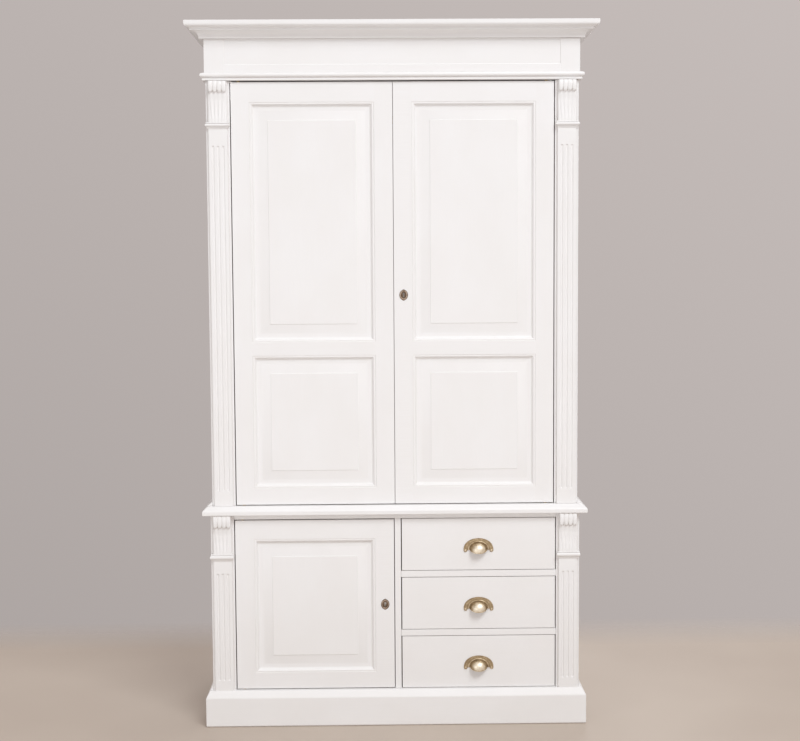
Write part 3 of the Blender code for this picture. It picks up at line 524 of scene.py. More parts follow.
def corbel(p, xc, y_face, top, lobe_end, foot):
    """Four lobes that roll under at their lower ends, and a leaf below them with ridges that draw together downwards."""
    half, pitch = 0.0287, 0.0287 / 2
    length = top - foot
    lobes = top - lobe_end
    us = np.linspace(-1, 1, 81)
    sv = np.concatenate([np.linspace(0, lobes - 0.008, 18)[:-1], np.linspace(lobes - 0.008, lobes + 0.010, 34)[:-1], np.linspace(lobes + 0.010, length, 44)])
    vs = (top - sv)[::-1]

    def height(u, v):
        s = top - v
        x = u * half
        ph = (x / pitch) % 1.0 - 0.5                 # -0.5 to 0.5 across each lobe
        round_ = np.sqrt(np.maximum(1 - (2 * ph) ** 2 * 0.985, 0))
        # the roll: full at the shoulder, swelling a little, and curling under at a scalloped end
        end = lobes + 0.0034 - 0.0074 * (1 - round_)
        t = np.clip(s / end, 0, 1)
        roll = 0.0085 + 0.0032 * np.sin(np.pi * np.clip(t * 1.02, 0, 1) ** 0.85)
        tail = np.clip((end - s) / 0.0075, 0, 1)
        roll = roll * np.sqrt(np.maximum(1 - (1 - tail) ** 2, 0))
        lobe = (roll + 0.0030 * round_ * np.sqrt(np.maximum(1 - (1 - tail) ** 2, 0))) * (s < end)
        # the leaf: hollow under the lobes, turning out again to meet the ring
        q = np.clip((s - lobes) / (length - lobes), 0, 1)
        leaf = 0.0022 + 0.0030 * (1 - sstep(0, 0.30, q)) + 0.0030 * sstep(0.45, 0.93, q)
        squeeze = 1.0 + 0.42 * q
        ridge = np.cos(2 * np.pi * (x * squeeze / pitch - 0.5))
        amp = 0.00030 + 0.00085 * sstep(0.15, 0.62, q) * (1 - sstep(0.74, 0.92, q))
        leaf = leaf + amp * ridge * (np.abs(x * squeeze) < pitch * 2.0)
        leaf = leaf - 0.0016 * sstep(0.72, 1.0, np.abs(u)) * (1 - 0.5 * q)
        h = np.maximum(leaf, lobe)
        side = np.clip((1 - np.abs(u)) / 0.055, 0, 1)
        return P_OUT + h * (0.25 + 0.75 * np.sqrt(1 - (1 - side) ** 2))

    def place(u, v, h):
        q = np.clip((top - v - lobes) / (length - lobes), 0, 1)
        return (xc + u * (half - 0.0010 + 0.0010 * q), y_face - h, v)

    relief(p, us, vs, place, height, P_OUT - 0.003)


def necking(p, x0, x1, y_face, rz0, rz1):
    """The ring below the leaf, with mitred returns to the post at both ends."""
    mid, h = (rz0 + rz1) / 2, rz1 - rz0
    out = P_OUT
    prof = rounded([(0.0, rz0), (out + 0.0014, rz0), (out + 0.0018, rz0 + 0.0030), (out + 0.0030, rz0 + 0.0036)], [0, 0.0004, 0.0005, 0], 3)
    prof += arc(out + 0.0026, mid + 0.0012, 0.0062, h * 0.5 - 0.0046, -80, 84, 14)
    prof += rounded([(out + 0.0062, rz1 - 0.0028), (out + 0.0058, rz1 - 0.0006), (out + 0.0050, rz1), (0.0, rz1)], [0, 0.0008, 0.0004, 0], 3)
    reach = out + 0.0088
    rings = []
    for o, z in prof:
        pull = max(reach - o, 0) * 0.80
        rings.append([(x0 + pull, y_face + 0.003, z), (x0 + pull, y_face - o + 0.0005, z), (x0 + pull + 0.0005, y_face - o, z),
                      (x1 - pull - 0.0005, y_face - o, z), (x1 - pull, y_face - o + 0.0005, z), (x1 - pull, y_face + 0.003, z)])
    p.loops(rings, True, False, "X", caps=True)


def post(word, s, half_w, opening, y_face, z_lo, z_hi, corbel_z, ring_z, flute_z, node, gap_top, bottom_z):
    p = Parts()
    x = sorted((s * opening, s * half_w))
    p.slab(x, (y_face, y_face + BOARD), (z_lo, z_hi), "Z", 0.0010, 3)
    xc = s * (opening + half_w) / 2
    pilaster(p, xc, y_face, bottom_z, z_hi - 0.0004, flute_z)
    corbel(p, xc, y_face, z_hi - 0.0006, corbel_z[0], corbel_z[1])
    r = sorted((s * (opening + 0.0012), s * (half_w + 0.0020)))
    necking(p, r[0], r[1], y_face, *ring_z)
    p.done(f"{node}_carved", "case", [PAINT], [node], sharp=40)


for word, s in (("left", -1), ("right", 1)):
    lo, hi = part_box(f"upper_post_{word}")
    post(word, s, W, UP_IN, YU, lo.z, hi.z, (1.9885, 1.897), (1.878, 1.897), (0.752, 1.826), f"upper_post_{word}", 0, lo.z)
    lo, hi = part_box(f"lower_post_{word}")
    post(word, s, WL, LOW_IN, YL, lo.z, hi.z, (0.6370, 0.553), (0.5305, 0.553), (0.146, 0.490), f"lower_post_{word}", 0, lo.z)

# ---------------------------------------------------------------- case sides, backs, rails, shelves
for word, s in (("left", -1), ("right", 1)):
    for level, half in (("upper", W), ("lower", WL)):
        lo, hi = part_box(f"{level}_side_{word}")
        p = Parts()
        p.slab((lo.x, hi.x), (lo.y, hi.y), (lo.z, hi.z), "Z", 0.0010, 3)
        p.done(f"{level}_side_board_{word}", "case", [PAINT], [f"{level}_side_{word}"])

for level in ("upper", "lower"):
    lo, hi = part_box(f"{level}_back")
    p = Parts()
    xs = np.linspace(lo.x, hi.x, 10)
    for a, b in zip(xs[:-1], xs[1:]):
        p.slab((a + 0.0002, b - 0.0002), (lo.y, hi.y), (lo.z, hi.z), "Z", 0.0016, 2)
    p.done(f"{level}_back_planks", "case", [INSIDE], [f"{level}_back"])

for node, along, new in (("lower_top_rail", "X", "lower_top_rail_board"), ("partition", "Y", "partition_board")):
    lo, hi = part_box(node)
    p = Parts()
    p.slab((lo.x, hi.x), (lo.y, hi.y), (lo.z, hi.z), along if node != "partition" else "Z", 0.0010, 3)
    obj = p.done(new, "case", [PAINT], [node])
    if node == "partition":
        # the mortise that the lower door's bolt enters
        c = cutter(Parts().slab((lo.x - 0.01, lo.x + 0.0085), (YL + 0.011 - 0.0036, YL + 0.011 + 0.0036), (0.3760, 0.3960), bevel=0.0004))
        carve(obj, [c])

for word in ("upper", "lower"):
    lo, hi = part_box(f"drawer_rail_{word}")
    p = Parts()
    p.slab((lo.x, LOW_IN - 0.0003), (YL, YL + 0.060), (lo.z, hi.z), "X", 0.0010, 3)
    for a, b in ((YL + 0.0605, YL + 0.235), (YL + 0.2355, YL + 0.405), (YL + 0.4055, hi.y)):
        p.slab((lo.x, hi.x), (a, b), (lo.z + 0.0012, hi.z - 0.0012), "X", 0.0010)
    p.done(f"drawer_rail_{word}_boards", "case", [PAINT], [f"drawer_rail_{word}"])

lo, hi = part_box("lower_bottom")
p = Parts()
p.slab((-LOW_IN + 0.0003, LOW_IN - 0.0003), (YL, YL + 0.0226), (lo.z, hi.z), "X", 0.0010, 3)
ys = (YL + 0.0226, YL + 0.200, YL + 0.380, hi.y)
for a, b in zip(ys[:-1], ys[1:]):
    p.slab((lo.x, hi.x), (a + 0.0002, b - 0.0002), (lo.z, hi.z), "X", 0.0010)
p.done("lower_bottom_boards", "case", [PAINT], ["lower_bottom"])

# ---------------------------------------------------------------- hanging rail
lo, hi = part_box("hanging_rail")
cy, czr = (lo.y + hi.y) / 2, (lo.z + hi.z) / 2
p = Parts()
for s in (-1, 1):
    e = s * hi.x
    p.lathe([(e, 0.0240), (e - s * 0.0008, 0.0256), (e - s * 0.0030, 0.0258), (e - s * 0.0042, 0.0246), (e - s * 0.0048, 0.0185),
             (e - s * 0.0072, 0.0165), (e - s * 0.0080, 0.0150), (e - s * 0.0160, 0.0146), (e - s * 0.0168, 0.0138)], (0, cy, czr), "X", 48, along="X", wear=0.5)
    for k in range(3):
        a = math.radians(90 + 120 * k)
        p.lathe([(e - s * 0.0044, 0.0030), (e - s * 0.0056, 0.0028), (e - s * 0.0062, 0.0018)], (0, cy + 0.0212 * math.cos(a), czr + 0.0212 * math.sin(a)), "X", 16, wear=0.6)
p.lathe([(-hi.x + 0.003, 0.0123), (-hi.x + 0.0035, 0.0125), (hi.x - 0.0035, 0.0125), (hi.x - 0.003, 0.0123)], (0, cy, czr), "X", 48, along="X", wear=0.5)
p.done("hanging_rail_turned", "case", [BRASS], ["hanging_rail"])

# ---------------------------------------------------------------- pivot pins
for node in [n for n in sorted(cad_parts) if "_pivot_" in n]:
    lo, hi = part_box(node)
    cx, cyp = (lo.x + hi.x) / 2, (lo.y + hi.y) / 2
    up = node.endswith("bottom")
    a, b = (lo.z, hi.z) if up else (hi.z, lo.z)
    s = 1 if up else -1
    face = a + s * 0.010                       # the face of the case board
    p = Parts()
    p.lathe([(a, 0.0034), (a + s * 0.0006, 0.0040), (face, 0.0040), (face + s * 0.0003, 0.0056), (face + s * 0.0008, 0.0062), (face + s * 0.0019, 0.0062),
             (face + s * 0.0024, 0.0056), (face + s * 0.0026, 0.0040), (b - s * 0.0010, 0.0040), (b, 0.0030)], (cx, cyp, 0), "Z", 32, wear=0.6)
    p.done(f"{node}_turned", "case", [BRASS], [node])


# ---------------------------------------------------------------- doors
def sticking(p, xa, xb, za, zb, y_face, width=STICK_W, deep=STICK_D):
    """The mitred moulding round a panel, from the face of the frame down to the panel: quirk, ovolo, fillet and cove."""
    line = [(0.0, y_face + 0.0002), (0.0008, y_face + 0.0002), (0.0013, y_face + 0.0013), (0.0020, y_face + 0.0016)]
    line += [(0.0020 + 0.0068 * math.sin(a), y_face + 0.0012 + 0.0040 * (1 - math.cos(a)) - 0.0008 * math.sin(2 * a)) for a in np.radians(np.linspace(0, 86, 9))][1:]
    line += [(0.0092, y_face + 0.0058), (0.0104, y_face + 0.0060)]
    line += [(0.0104 + (width - 0.0110) * (1 - math.cos(a)), y_face + 0.0060 + (deep - 0.0060) * math.sin(a)) for a in np.radians(np.linspace(8, 80, 7))]
    line += [(width - 0.0002, y_face + deep + 0.0002)]
    back = y_face + deep + 0.0006
    prof = line + [(width - 0.0002, back), (0.0, back)]
    rings = [[(xa + d, y, za + d), (xb - d, y, za + d), (xb - d, y, zb - d), (xa + d, y, zb - d)] for d, y in prof]
    for k, along in enumerate(("X", "Z", "X", "Z")):
        quads = []
        for ring in rings:
            a, b = np.array(ring[k]), np.array(ring[(k + 1) % 4])
            quads.append([tuple(a), tuple(b)])
        n = len(quads)
        faces = [(2 * i, 2 * i + 1, 2 * ((i + 1) % n) + 1, 2 * ((i + 1) % n)) for i in range(n)]
        faces += [tuple(2 * i for i in range(n)), tuple(2 * i + 1 for i in reversed(range(n)))]
        p.add([q for pair in quads for q in pair], faces, along)


def panel(p, xa, xb, za, zb, y_face, deep=STICK_D, margin=0.0085, bevel=0.0295, tuck=0.0075):
    """A raised panel in the opening xa..xb, za..zb inside the moulding: flat margin, bevel, shoulder, and the field."""
    y_m = y_face + deep - 0.0002
    y_f = y_face + 0.0008
    prof = [(-tuck, y_m + 0.0004), (-tuck + 0.0006, y_m)]
    prof += rounded([(0.0, y_m), (margin, y_m), (margin + bevel, y_f + 0.0014), (margin + bevel + 0.0004, y_f + 0.0003), (margin + bevel + 0.0012, y_f), (margin + bevel + 0.010, y_f)],
                    [0, 0.0020, 0.0005, 0.0004, 0.0006, 0], 4)
    rings = [[(xa + d, y, za + d), (xb - d, y, za + d), (xb - d, y, zb - d), (xa + d, y, zb - d)] for d, y in prof]
    yb_ = y_face + 0.0146
    rings = [[(xa - tuck, yb_, za - tuck), (xb + tuck, yb_, za - tuck), (xb + tuck, yb_, zb + tuck), (xa - tuck, yb_, zb + tuck)]] + rings
    p.loops(rings, True, False, "Z", caps=True)


def keyhole(cx, cz, r, slot, drop, sides=20):
    half = math.degrees(math.asin(slot / 2 / r))
    ring = [(cx + r * math.cos(math.radians(-90 + half + (360 - 2 * half) * i / sides)), cz + r * math.sin(math.radians(-90 + half + (360 - 2 * half) * i / sides)))
            for i in range(sides + 1)]
    return ring + [(cx - slot * 0.62, cz - drop), (cx + slot * 0.62, cz - drop)]


def door(prefix, body, y_face, openings, hinge_left, key=None, edge_in=0.0005):
    """Frame, panels and mouldings of a door. openings is a list of (outer edge of the moulding: xa, xb, za, zb)."""
    sl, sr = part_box(f"{prefix}_stile_left"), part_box(f"{prefix}_stile_right")
    z_lo, z_hi = sl[0].z, sl[1].z
    x0, x1 = sl[0].x, sr[1].x
    x0, x1 = (x0 - MEET if abs(x0) < 0.01 else x0), (x1 + MEET if abs(x1) < 0.01 else x1)
    xa, xb = openings[0][0], openings[0][1]
    g0, g1 = y_face + 0.0072, y_face + 0.0148
    yb_ = y_face + BOARD
    inner0, inner1 = xa + STICK_W, xb - STICK_W
    reb = y_face + STICK_D + 0.0006
    made = {}
    for word, e, i_face, i_in, s in (("left", x0, xa, inner0, 1), ("right", x1, xb, inner1, -1)):
        out = [(e, y_face), (i_face, y_face), (i_face, reb), (i_in - s * 0.0085, reb), (i_in - s * 0.0085, g1), (i_in, g1), (i_in, yb_), (e, yb_)]
        p = Parts()
        p.prism(out, (z_lo, z_hi), "Z", "Z", 0.0007, 2)
        obj = p.done(f"{prefix}_{word}_stile_board", body, [PAINT], [f"{prefix}_stile_{word}"])
        cuts = []
        if (word == "left") == hinge_left:
            pin = e + s * (0.0235)
            for z in (z_lo, z_hi):
                cuts.append(cutter(Parts().lathe([(-0.0180, 0.0046), (0.0180, 0.0046)], (pin, y_face + 0.011, z), "Z", 24)))
        if key and key[0] == word:
            kx, kz = key[1], key[2]
            cuts.append(cutter(Parts().prism(keyhole(kx, kz + 0.0035, 0.0036, 0.0038, 0.0112), (y_face - 0.01, y_face + 0.0090), "Y", "Z", 0)))
            pocket = sorted((e - s * 0.010, e + s * 0.046))
            cuts.append(cutter(Parts().slab(pocket, (y_face + 0.0055, y_face + 0.0165), (kz - 0.032, kz + 0.032), bevel=0.0003)))
        if key and key[0] == "keeper_" + word:
            out_ = sorted((e - s * 0.01, e + s * 0.0085))
            cuts.append(cutter(Parts().slab(out_, (y_face + 0.0074, y_face + 0.0146), (key[2] - 0.010, key[2] + 0.010), bevel=0.0003)))
        if cuts:
            carve(obj, cuts)
        made[word] = obj
    levels = [z_lo] + [v for o in openings for v in (o[2], o[3])] + [z_hi]
    names = ("bottom", "top") if len(openings) == 1 else ("bottom", "middle", "top")
    for k, word in enumerate(names):
        a, b = levels[2 * k], levels[2 * k + 1]
        low_in, high_in = (a if k == 0 else a - STICK_W), (b if k == len(names) - 1 else b + STICK_W)
        # the face reaches over the stiles' rounded edges; the thicker part behind, grooved for the panels, is shouldered
        face = reb - 0.0004
        rail = [(face, a), (face, b)]
        if k < len(names) - 1:
            rail += [(reb, b), (reb, high_in - 0.0085), (g1, high_in - 0.0085), (g1, high_in), (yb_, high_in)]
        else:
            rail += [(yb_, b)]
        if k > 0:
            rail += [(yb_, low_in), (g1, low_in), (g1, low_in + 0.0085), (reb, low_in + 0.0085), (reb, a)]
        else:
            rail += [(yb_, a)]
        p = Parts()
        p.prism([(y_face, a), (y_face, b), (reb, b), (reb, a)], (xa - 0.0005, xb + 0.0005), "X", "X", 0.0002, 2)
        p.prism(rail, (inner0 + 0.00005, inner1 - 0.00005), "X", "X", 0.0004, 2)
        p.done(f"{prefix}_{word}_rail_board", body, [PAINT], [f"{prefix}_rail_{word}"])
    pn = ("panel",) if len(openings) == 1 else ("panel_lower", "panel_upper")
    for word, (oa, ob, za, zb) in zip(pn, openings):
        p = Parts()
        panel(p, oa + STICK_W, ob - STICK_W, za + STICK_W, zb - STICK_W, y_face)
        p.done(f"{prefix}_{word}_raised", body, [PAINT], [f"{prefix}_{word}"], sharp=25)
    p = Parts()
    for oa, ob, za, zb in openings:
        sticking(p, oa, ob, za, zb, y_face)
    p.done(f"{prefix}_sticking", body, [PAINT], [], sharp=40)
    return made


UP_LOW, UP_HIGH = (0.7585, 1.1770), (1.2185, 1.9596)
UX0, UX1 = 0.0580, 0.4425
KEY_U = (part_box("upper_escutcheon")[0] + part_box("upper_escutcheon")[1]) / 2
KEY_L = (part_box("lower_escutcheon")[0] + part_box("lower_escutcheon")[1]) / 2
door("upper_left", "upper_door_left", YU, [(-UX1, -UX0, *UP_LOW), (-UX1, -UX0, *UP_HIGH)], True, ("keeper_right", 0, KEY_U.z))
door("upper_right", "upper_door_right", YU, [(UX0, UX1, *UP_LOW), (UX0, UX1, *UP_HIGH)], False, ("left", KEY_U.x, KEY_U.z))
door("lower", "lower_door", YL, [(-0.4455, -0.0640, 0.1685, 0.5980)], True, ("right", KEY_L.x, KEY_L.z))


# ---------------------------------------------------------------- escutcheons, locks and bolts
def escutcheon(prefix, body, c, y_face):
    """A cast oval with a ring of beads, a small point above and below, and a raised lip round the keyhole."""
    a_, b_ = 0.0132, 0.0160
    n = 96
    rad = [0.0, 0.20, 0.34, 0.42, 0.50, 0.60, 0.66, 0.71, 0.76, 0.81, 0.86, 0.91, 0.95, 0.98, 1.0]
    rings, wear = [], []
    for t in rad[1:]:
        ring = []
        for k in range(n):
            ang = 2 * math.pi * k / n
            point = 1 + 0.085 * max(0.0, -math.cos(2 * ang)) ** 10 * t ** 3
            bead = abs(math.cos(9 * ang))
            h = 0.00125 + 0.00020 * math.cos(t * 3.0)
            if 0.62 < t < 0.93:
                h += 0.00085 * math.sin(math.pi * (t - 0.62) / 0.31) * (0.30 + 0.70 * bead ** 0.7)
            if t >= 0.95:
                h = {0.95: 0.00125, 0.98: 0.00110, 1.0: 0.00080}[t]
            if 0.55 < t <= 0.62:
                h -= 0.00020
            ring.append((c.x + a_ * t * point * math.cos(ang), y_face - h, c.z + b_ * t * point * math.sin(ang)))
            wear.append(min(1.0, max(0.0, (h - 0.0010) / 0.0010)))
        rings.append(ring)
    last = rings[-1]
    rings.append([(x, y_face + 0.0002, z) for x, y, z in last])
    wear += [0.1] * n
    p = Parts()
    p.loops(rings, True, False, "Z", caps=True, wear=wear)
    obj = p.done(f"{prefix}_escutcheon_cast", body, [BRONZE], [f"{prefix}_escutcheon"], sharp=45, weighted=False)
    hole = keyhole(c.x, c.z + 0.0035, 0.0034, 0.0034, 0.0105)
    carve(obj, [cutter(Parts().prism(hole, (y_face - 0.01, y_face + 0.01), "Y", "Z", 0))])
    # the lip round the keyhole
    lip = Parts()
    inner = np.array(hole)
    mid = np.array([c.x, c.z])
    nrm = []
    for k in range(len(inner)):
        d = inner[(k + 1) % len(inner)] - inner[k - 1]
        v = np.array([d[1], -d[0]])
        v /= max(np.linalg.norm(v), 1e-9)
        nrm.append(v if np.dot(v, inner[k] - mid) > 0 else -v)
    rows = []
    for off, y in ((0.0001, -0.0002), (0.0001, 0.0019), (0.0004, 0.0022), (0.0009, 0.0022), (0.0012, 0.0018), (0.0013, -0.0002)):
        rows.append([(q[0] + v[0] * off, y_face - y, q[1] + v[1] * off) for q, v in zip(inner, nrm)])
    lip.loops(rows, True, True, "Z", wear=[0.75] * (len(rows) * len(inner)))
    for s in (-1, 1):
        lip.lathe([(y_face + 0.0002, 0.0011), (y_face - 0.0014, 0.0011), (y_face - 0.0018, 0.0008), (y_face - 0.0020, 0.0004)], (c.x, 0, c.z + s * 0.0118), "Y", 14, wear=0.6)
    lip.done(f"{prefix}_escutcheon_lip", body, [BRONZE], [], sharp=45, weighted=False)


for prefix, body, key, y_face, s in (("upper", "upper_door_right", KEY_U, YU, 1), ("lower", "lower_door", KEY_L, YL, -1)):
    escutcheon(prefix, body, key, y_face)
    lo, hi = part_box(f"{prefix}_lock_case")
    p = Parts()
    closer = MEET if prefix == "upper" else 0.0
    p.slab((lo.x - closer, hi.x), (lo.y, hi.y), (lo.z, hi.z), "Z", 0.0006)
    edge = lo.x - closer if s > 0 else hi.x
    blo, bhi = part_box(f"{prefix}_lock_bolt")
    obj = p.done(f"{prefix}_lock_case_plate", body, [STEEL], [f"{prefix}_lock_case"])
    ch = sorted((edge - s * 0.01, edge + s * (0.0295 + closer)))
    carve(obj, [cutter(Parts().slab(ch, (blo.y - 0.0004, bhi.y + 0.0004), (blo.z - 0.0005, bhi.z + 0.0005), bevel=0.0002))])
    p = Parts()
    for dz in (-0.0245, 0.0245):
        x = sorted((edge + s * 0.0010, edge - s * 0.0001))
        p.lathe([(x[0], 0.0028), (x[1] - 0.0002, 0.0028), (x[1], 0.0020)] if s < 0 else [(x[1], 0.0028), (x[0] + 0.0002, 0.0028), (x[0], 0.0020)],
                (0, (lo.y + hi.y) / 2, (lo.z + hi.z) / 2 + dz), "X", 18, wear=0.5)
    p.done(f"{prefix}_lock_screws", body, [STEEL], [])
    p = Parts()
    nose = blo.x if s > 0 else bhi.x
    p.slab((blo.x, bhi.x), (blo.y, bhi.y), (blo.z, bhi.z), "X", 0.0009, 3)
    p.done(f"{prefix}_bolt_brass", f"{prefix}_lock_bolt", [BRASS], [f"{prefix}_lock_bolt"])


# ---------------------------------------------------------------- drawers and cup pulls
def cup_pull(p, cx, cz, y_face):
    """A cast cup: an arched flange with a thin rim and a bead round the cup, and a cup that is open underneath."""
    rx, ry, rz, wall = 0.0262, 0.0238, 0.0235, 0.0016
    n_a = 73
    drop = math.radians(20.5)
    rings, wear = [], []
    for i in range(n_a):
        al = math.radians(0.6 + 178.8 * i / (n_a - 1))
        ca, sa = math.cos(al), math.sin(al)
        row, wr = [], []

        def dome(be, shrink, swell=0.0):
            k = 1 + swell
            return (cx + (rx - shrink) * k * ca, y_face - 0.0010 - max((ry - shrink) * k * sa * math.cos(be), -0.0008), cz + 0.0004 + (rz - shrink) * k * sa * math.sin(be))

        # inside of the cup, from the back up to the lip
        for be in np.radians([78, 66, 52, 38, 24, 10, -4, -14]):
            row.append(dome(be, wall)); wr.append(0.0)
        row.append(dome(-drop, wall)); wr.append(0.3)
        # the rolled lip
        row.append(dome(-drop - 0.012, wall * 0.6)); wr.append(0.6)
        row.append(dome(-drop - 0.008, 0.0, 0.022)); wr.append(0.95)
        row.append(dome(-drop + 0.040, 0.0, 0.030)); wr.append(0.9)
        row.append(dome(-drop + 0.090, 0.0, 0.012)); wr.append(0.45)
        for be in np.radians([-11, -4, 4, 12, 20, 28, 36, 44, 52, 60, 68]):
            row.append(dome(be, 0.0))
            front = math.cos(be - 0.28) * sa
            wr.append(float(np.clip(0.02 + 1.05 * max(front, 0) ** 1.6, 0, 1)))
        # the cove at the foot of the cup, the bead, the band and the rim
        edge = np.array([0.0470 * ca, 0.0375 * sa ** 0.86])
        foot = np.array([rx * ca, rz * sa])
        for t, h, w_ in ((0.02, 0.0046, 0.15), (0.06, 0.0030, 0.05), (0.12, 0.0022, 0.05), (0.17, 0.0025, 0.35), (0.22, 0.0034, 0.45), (0.27, 0.0038, 0.60), (0.32, 0.0034, 0.45),
                         (0.37, 0.0025, 0.30), (0.42, 0.0020, 0.12), (0.52, 0.0022, 0.30), (0.64, 0.0025, 0.42), (0.76, 0.0024, 0.38), (0.84, 0.0019, 0.15), (0.88, 0.0020, 0.25),
                         (0.92, 0.0026, 0.50), (0.96, 0.0026, 0.50), (0.99, 0.0020, 0.30), (1.0, 0.0012, 0.15)):
            q = foot + (edge - foot) * t
            row.append((cx + q[0], y_face - h, cz + 0.0004 + q[1])); wr.append(w_)
        row.append((cx + edge[0], y_face - 0.0001, cz + 0.0004 + edge[1])); wr.append(0)
        q = foot * ((rx - wall) / rx)
        row.append((cx + q[0] * 1.0, y_face - 0.0001, cz + 0.0004 + q[1] * 1.0)); wr.append(0)
        rings.append(row)
        wear += wr
    p.loops(rings, True, False, "X", caps=True, wear=wear)
    for s in (-1, 1):
        ex, ez = cx + s * 0.0412, cz - 0.0004
        p.lathe([(y_face - 0.0001, 0.0056), (y_face - 0.0014, 0.0058), (y_face - 0.0022, 0.0054), (y_face - 0.0025, 0.0046), (y_face - 0.0021, 0.0040), (y_face - 0.0020, 0.0036)], (ex, 0, ez), "Y", 28, wear=0.35)
        p.lathe([(y_face - 0.0010, 0.0030), (y_face - 0.0024, 0.0031), (y_face - 0.0031, 0.0026), (y_face - 0.0035, 0.0016)], (ex, 0, ez), "Y", 20, wear=0.7)


for word in ("top", "middle", "bottom"):
    body = f"drawer_{word}"
    lo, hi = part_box(f"drawer_{word}_front")
    p = Parts()
    p.slab((lo.x, hi.x), (lo.y, hi.y), (lo.z - 0.0013, hi.z + 0.0013), "X", 0.0007, 3)
    p.done(f"drawer_{word}_front_board", body, [PAINT], [f"drawer_{word}_front"])
    lo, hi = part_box(f"drawer_{word}_box")
    p = Parts()
    t = 0.012
    for x in ((lo.x, lo.x + t), (hi.x - t, hi.x)):
        p.slab(x, (lo.y, hi.y), (lo.z, hi.z), "Y", 0.0012, 3)
    p.slab((lo.x + t - 0.0001, hi.x - t + 0.0001), (hi.y - t, hi.y - 0.0006), (lo.z + 0.0110, hi.z - 0.004), "X", 0.0010, 2)
    p.slab((lo.x + t - 0.005, hi.x - t + 0.005), (lo.y, hi.y - 0.0008), (lo.z + 0.0045, lo.z + 0.0108), "X", 0.0006, 2)
    p.done(f"drawer_{word}_box_boards", body, [WOOD], [f"drawer_{word}_box"])
    lo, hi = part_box(f"drawer_{word}_pull")
    p = Parts()
    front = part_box(f"drawer_{word}_front")
    cup_pull(p, (lo.x + hi.x) / 2, front[1].z - 0.1005, YL)
    p.done(f"drawer_{word}_cup_pull", body, [PULL], [f"drawer_{word}_pull"], sharp=50, weighted=False)

# ---------------------------------------------------------------- floor, lights, camera
mesh = bpy.data.meshes.new("studio_floor")
mesh.from_pydata([(-6, -6, 0), (6, -6, 0), (6, 6, 0), (-6, 6, 0)], [], [(0, 1, 2, 3)])
floor = bpy.data.objects.new("studio_floor", mesh)
bpy.context.scene.collection.objects.link(floor)
m = Nodes("studio_floor")
geo = m.node("ShaderNodeTexCoord")
sep = m.node("ShaderNodeSeparateXYZ")
m.link(geo.outputs["Object"], sep.inputs[0])
far = m.ramp(sep.outputs["Y"], 1, 0, 0.62, 1.02)
ax = m.ramp(m.math("ABSOLUTE", sep.outputs["X"]), 1, 0, 2.4, 3.4)
near = m.ramp(sep.outputs["Y"], 0, 1, -4.2, -3.0)
alpha = m.math("MULTIPLY", m.math("MULTIPLY", far, ax), near)
see = m.node("ShaderNodeBsdfTransparent")
mix = m.node("ShaderNodeMixShader")
m.link(alpha, mix.inputs[0])
m.link(see.outputs[0], mix.inputs[1])
m.link(m.bsdf.outputs[0], mix.inputs[2])
m.link(mix.outputs[0], m.tree.nodes["Material Output"].inputs["Surface"])
soft = m.node("ShaderNodeTexNoise")
soft.inputs["Scale"].default_value = 1.6
m.link(geo.outputs["Object"], soft.inputs["Vector"])
m.link(m.mix(m.ramp(soft.outputs["Fac"], 0, 1, 0.3, 0.7), (0.50, 0.425, 0.360, 1), (0.54, 0.465, 0.395, 1)), m.bsdf.inputs["Base Color"])
m.bsdf.inputs["Roughness"].default_value = 0.55
mesh.materials.append(m.mat)

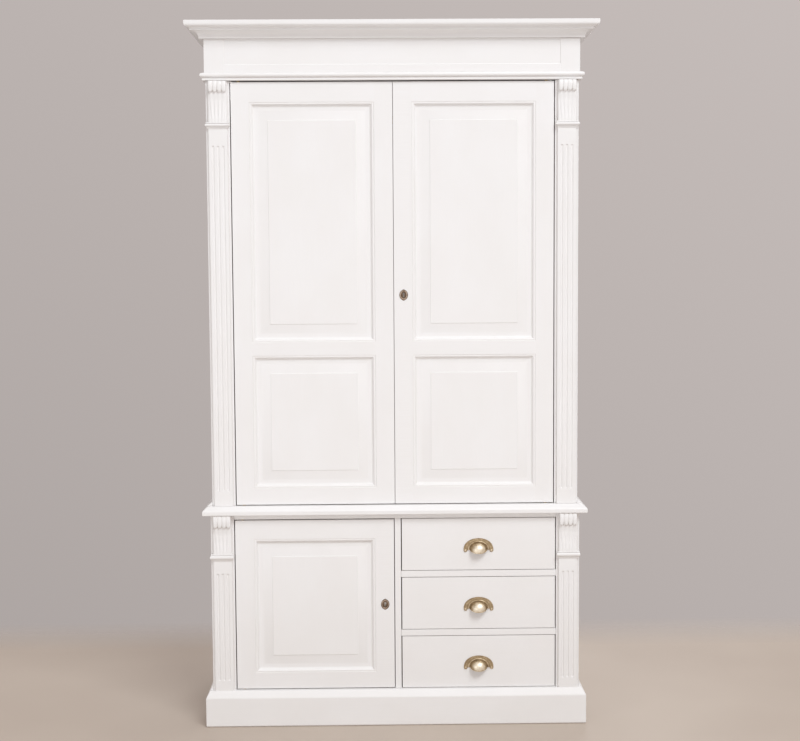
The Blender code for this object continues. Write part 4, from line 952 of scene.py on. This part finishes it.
world = bpy.data.worlds.new("studio")
bpy.context.scene.world = world
world.use_nodes = True
tree = world.node_tree
ways = tree.nodes.new("ShaderNodeTexCoord")
split = tree.nodes.new("ShaderNodeSeparateXYZ")
tree.links.new(ways.outputs["Generated"], split.inputs[0])
slopes = []
for axis, slope in (("X", 0.55), ("Z", 0.90)):
    step = tree.nodes.new("ShaderNodeMath")
    step.operation = "MULTIPLY_ADD"
    step.inputs[1].default_value = slope
    step.inputs[2].default_value = 0.286
    tree.links.new(split.outputs[axis], step.inputs[0])
    slopes.append(step.outputs[0])
both = tree.nodes.new("ShaderNodeMath")
both.operation, both.use_clamp = "ADD", True
tree.links.new(slopes[0], both.inputs[0])
tree.links.new(slopes[1], both.inputs[1])
tone = tree.nodes.new("ShaderNodeMix")
tone.data_type = "RGBA"
tree.links.new(both.outputs[0], tone.inputs[0])
tone.inputs[6].default_value = (0.381, 0.344, 0.332, 1)
tone.inputs[7].default_value = (0.581, 0.526, 0.508, 1)
tree.links.new(tone.outputs[2], tree.nodes["Background"].inputs["Color"])
world.node_tree.nodes["Background"].inputs["Strength"].default_value = 1.0


def lamp(name, where, aim, size, power, colour):
    data = bpy.data.lights.new(name, "AREA")
    data.shape = "RECTANGLE"
    data.size, data.size_y = size
    data.energy = power
    data.color = colour
    obj = bpy.data.objects.new(name, data)
    obj.location = where
    obj.rotation_euler = (Vector(aim) - Vector(where)).to_track_quat("-Z", "Y").to_euler()
    obj.visible_camera = False
    bpy.context.scene.collection.objects.link(obj)
    return obj


lamp("key", (3.2, -6.4, 8.3), (0.0, 0, 0.90), (4.6, 3.4), 545, (0.925, 0.970, 1.0))
lamp("fill", (-3.8, -5.6, 1.3), (-0.1, 0, 0.8), (2.6, 2.2), 62, (0.925, 0.970, 1.0))
lamp("low", (0.2, -2.4, 0.05), (0.2, -2.3, 3.0), (3.4, 1.2), 19, (0.95, 0.97, 1.0))
lamp("back", (0.6, 4.6, 3.4), (0, 0, 1.2), (3.0, 2.0), 60, (0.96, 0.98, 1.0))

yaw, pitch, roll = 0.014520, 0.079970, 0.006207
fwd = Vector((math.sin(yaw) * math.cos(pitch), math.cos(yaw) * math.cos(pitch), -math.sin(pitch)))
right = Vector((math.cos(yaw), -math.sin(yaw), 0))
up = right.cross(fwd)
r2 = right * math.cos(roll) - up * math.sin(roll)
u2 = right * math.sin(roll) + up * math.cos(roll)
cam = bpy.data.cameras.new("view")
cam.lens, cam.sensor_width = 63.189, 36.0
camera = bpy.data.objects.new("view", cam)
bpy.context.scene.collection.objects.link(camera)
place = Matrix((r2, u2, -fwd)).transposed().to_4x4()
place.translation = Vector((-0.04568, -4.63051, 1.47856))
camera.matrix_world = place
bpy.context.scene.camera = camera
bpy.context.scene.view_settings.view_transform = "Standard"
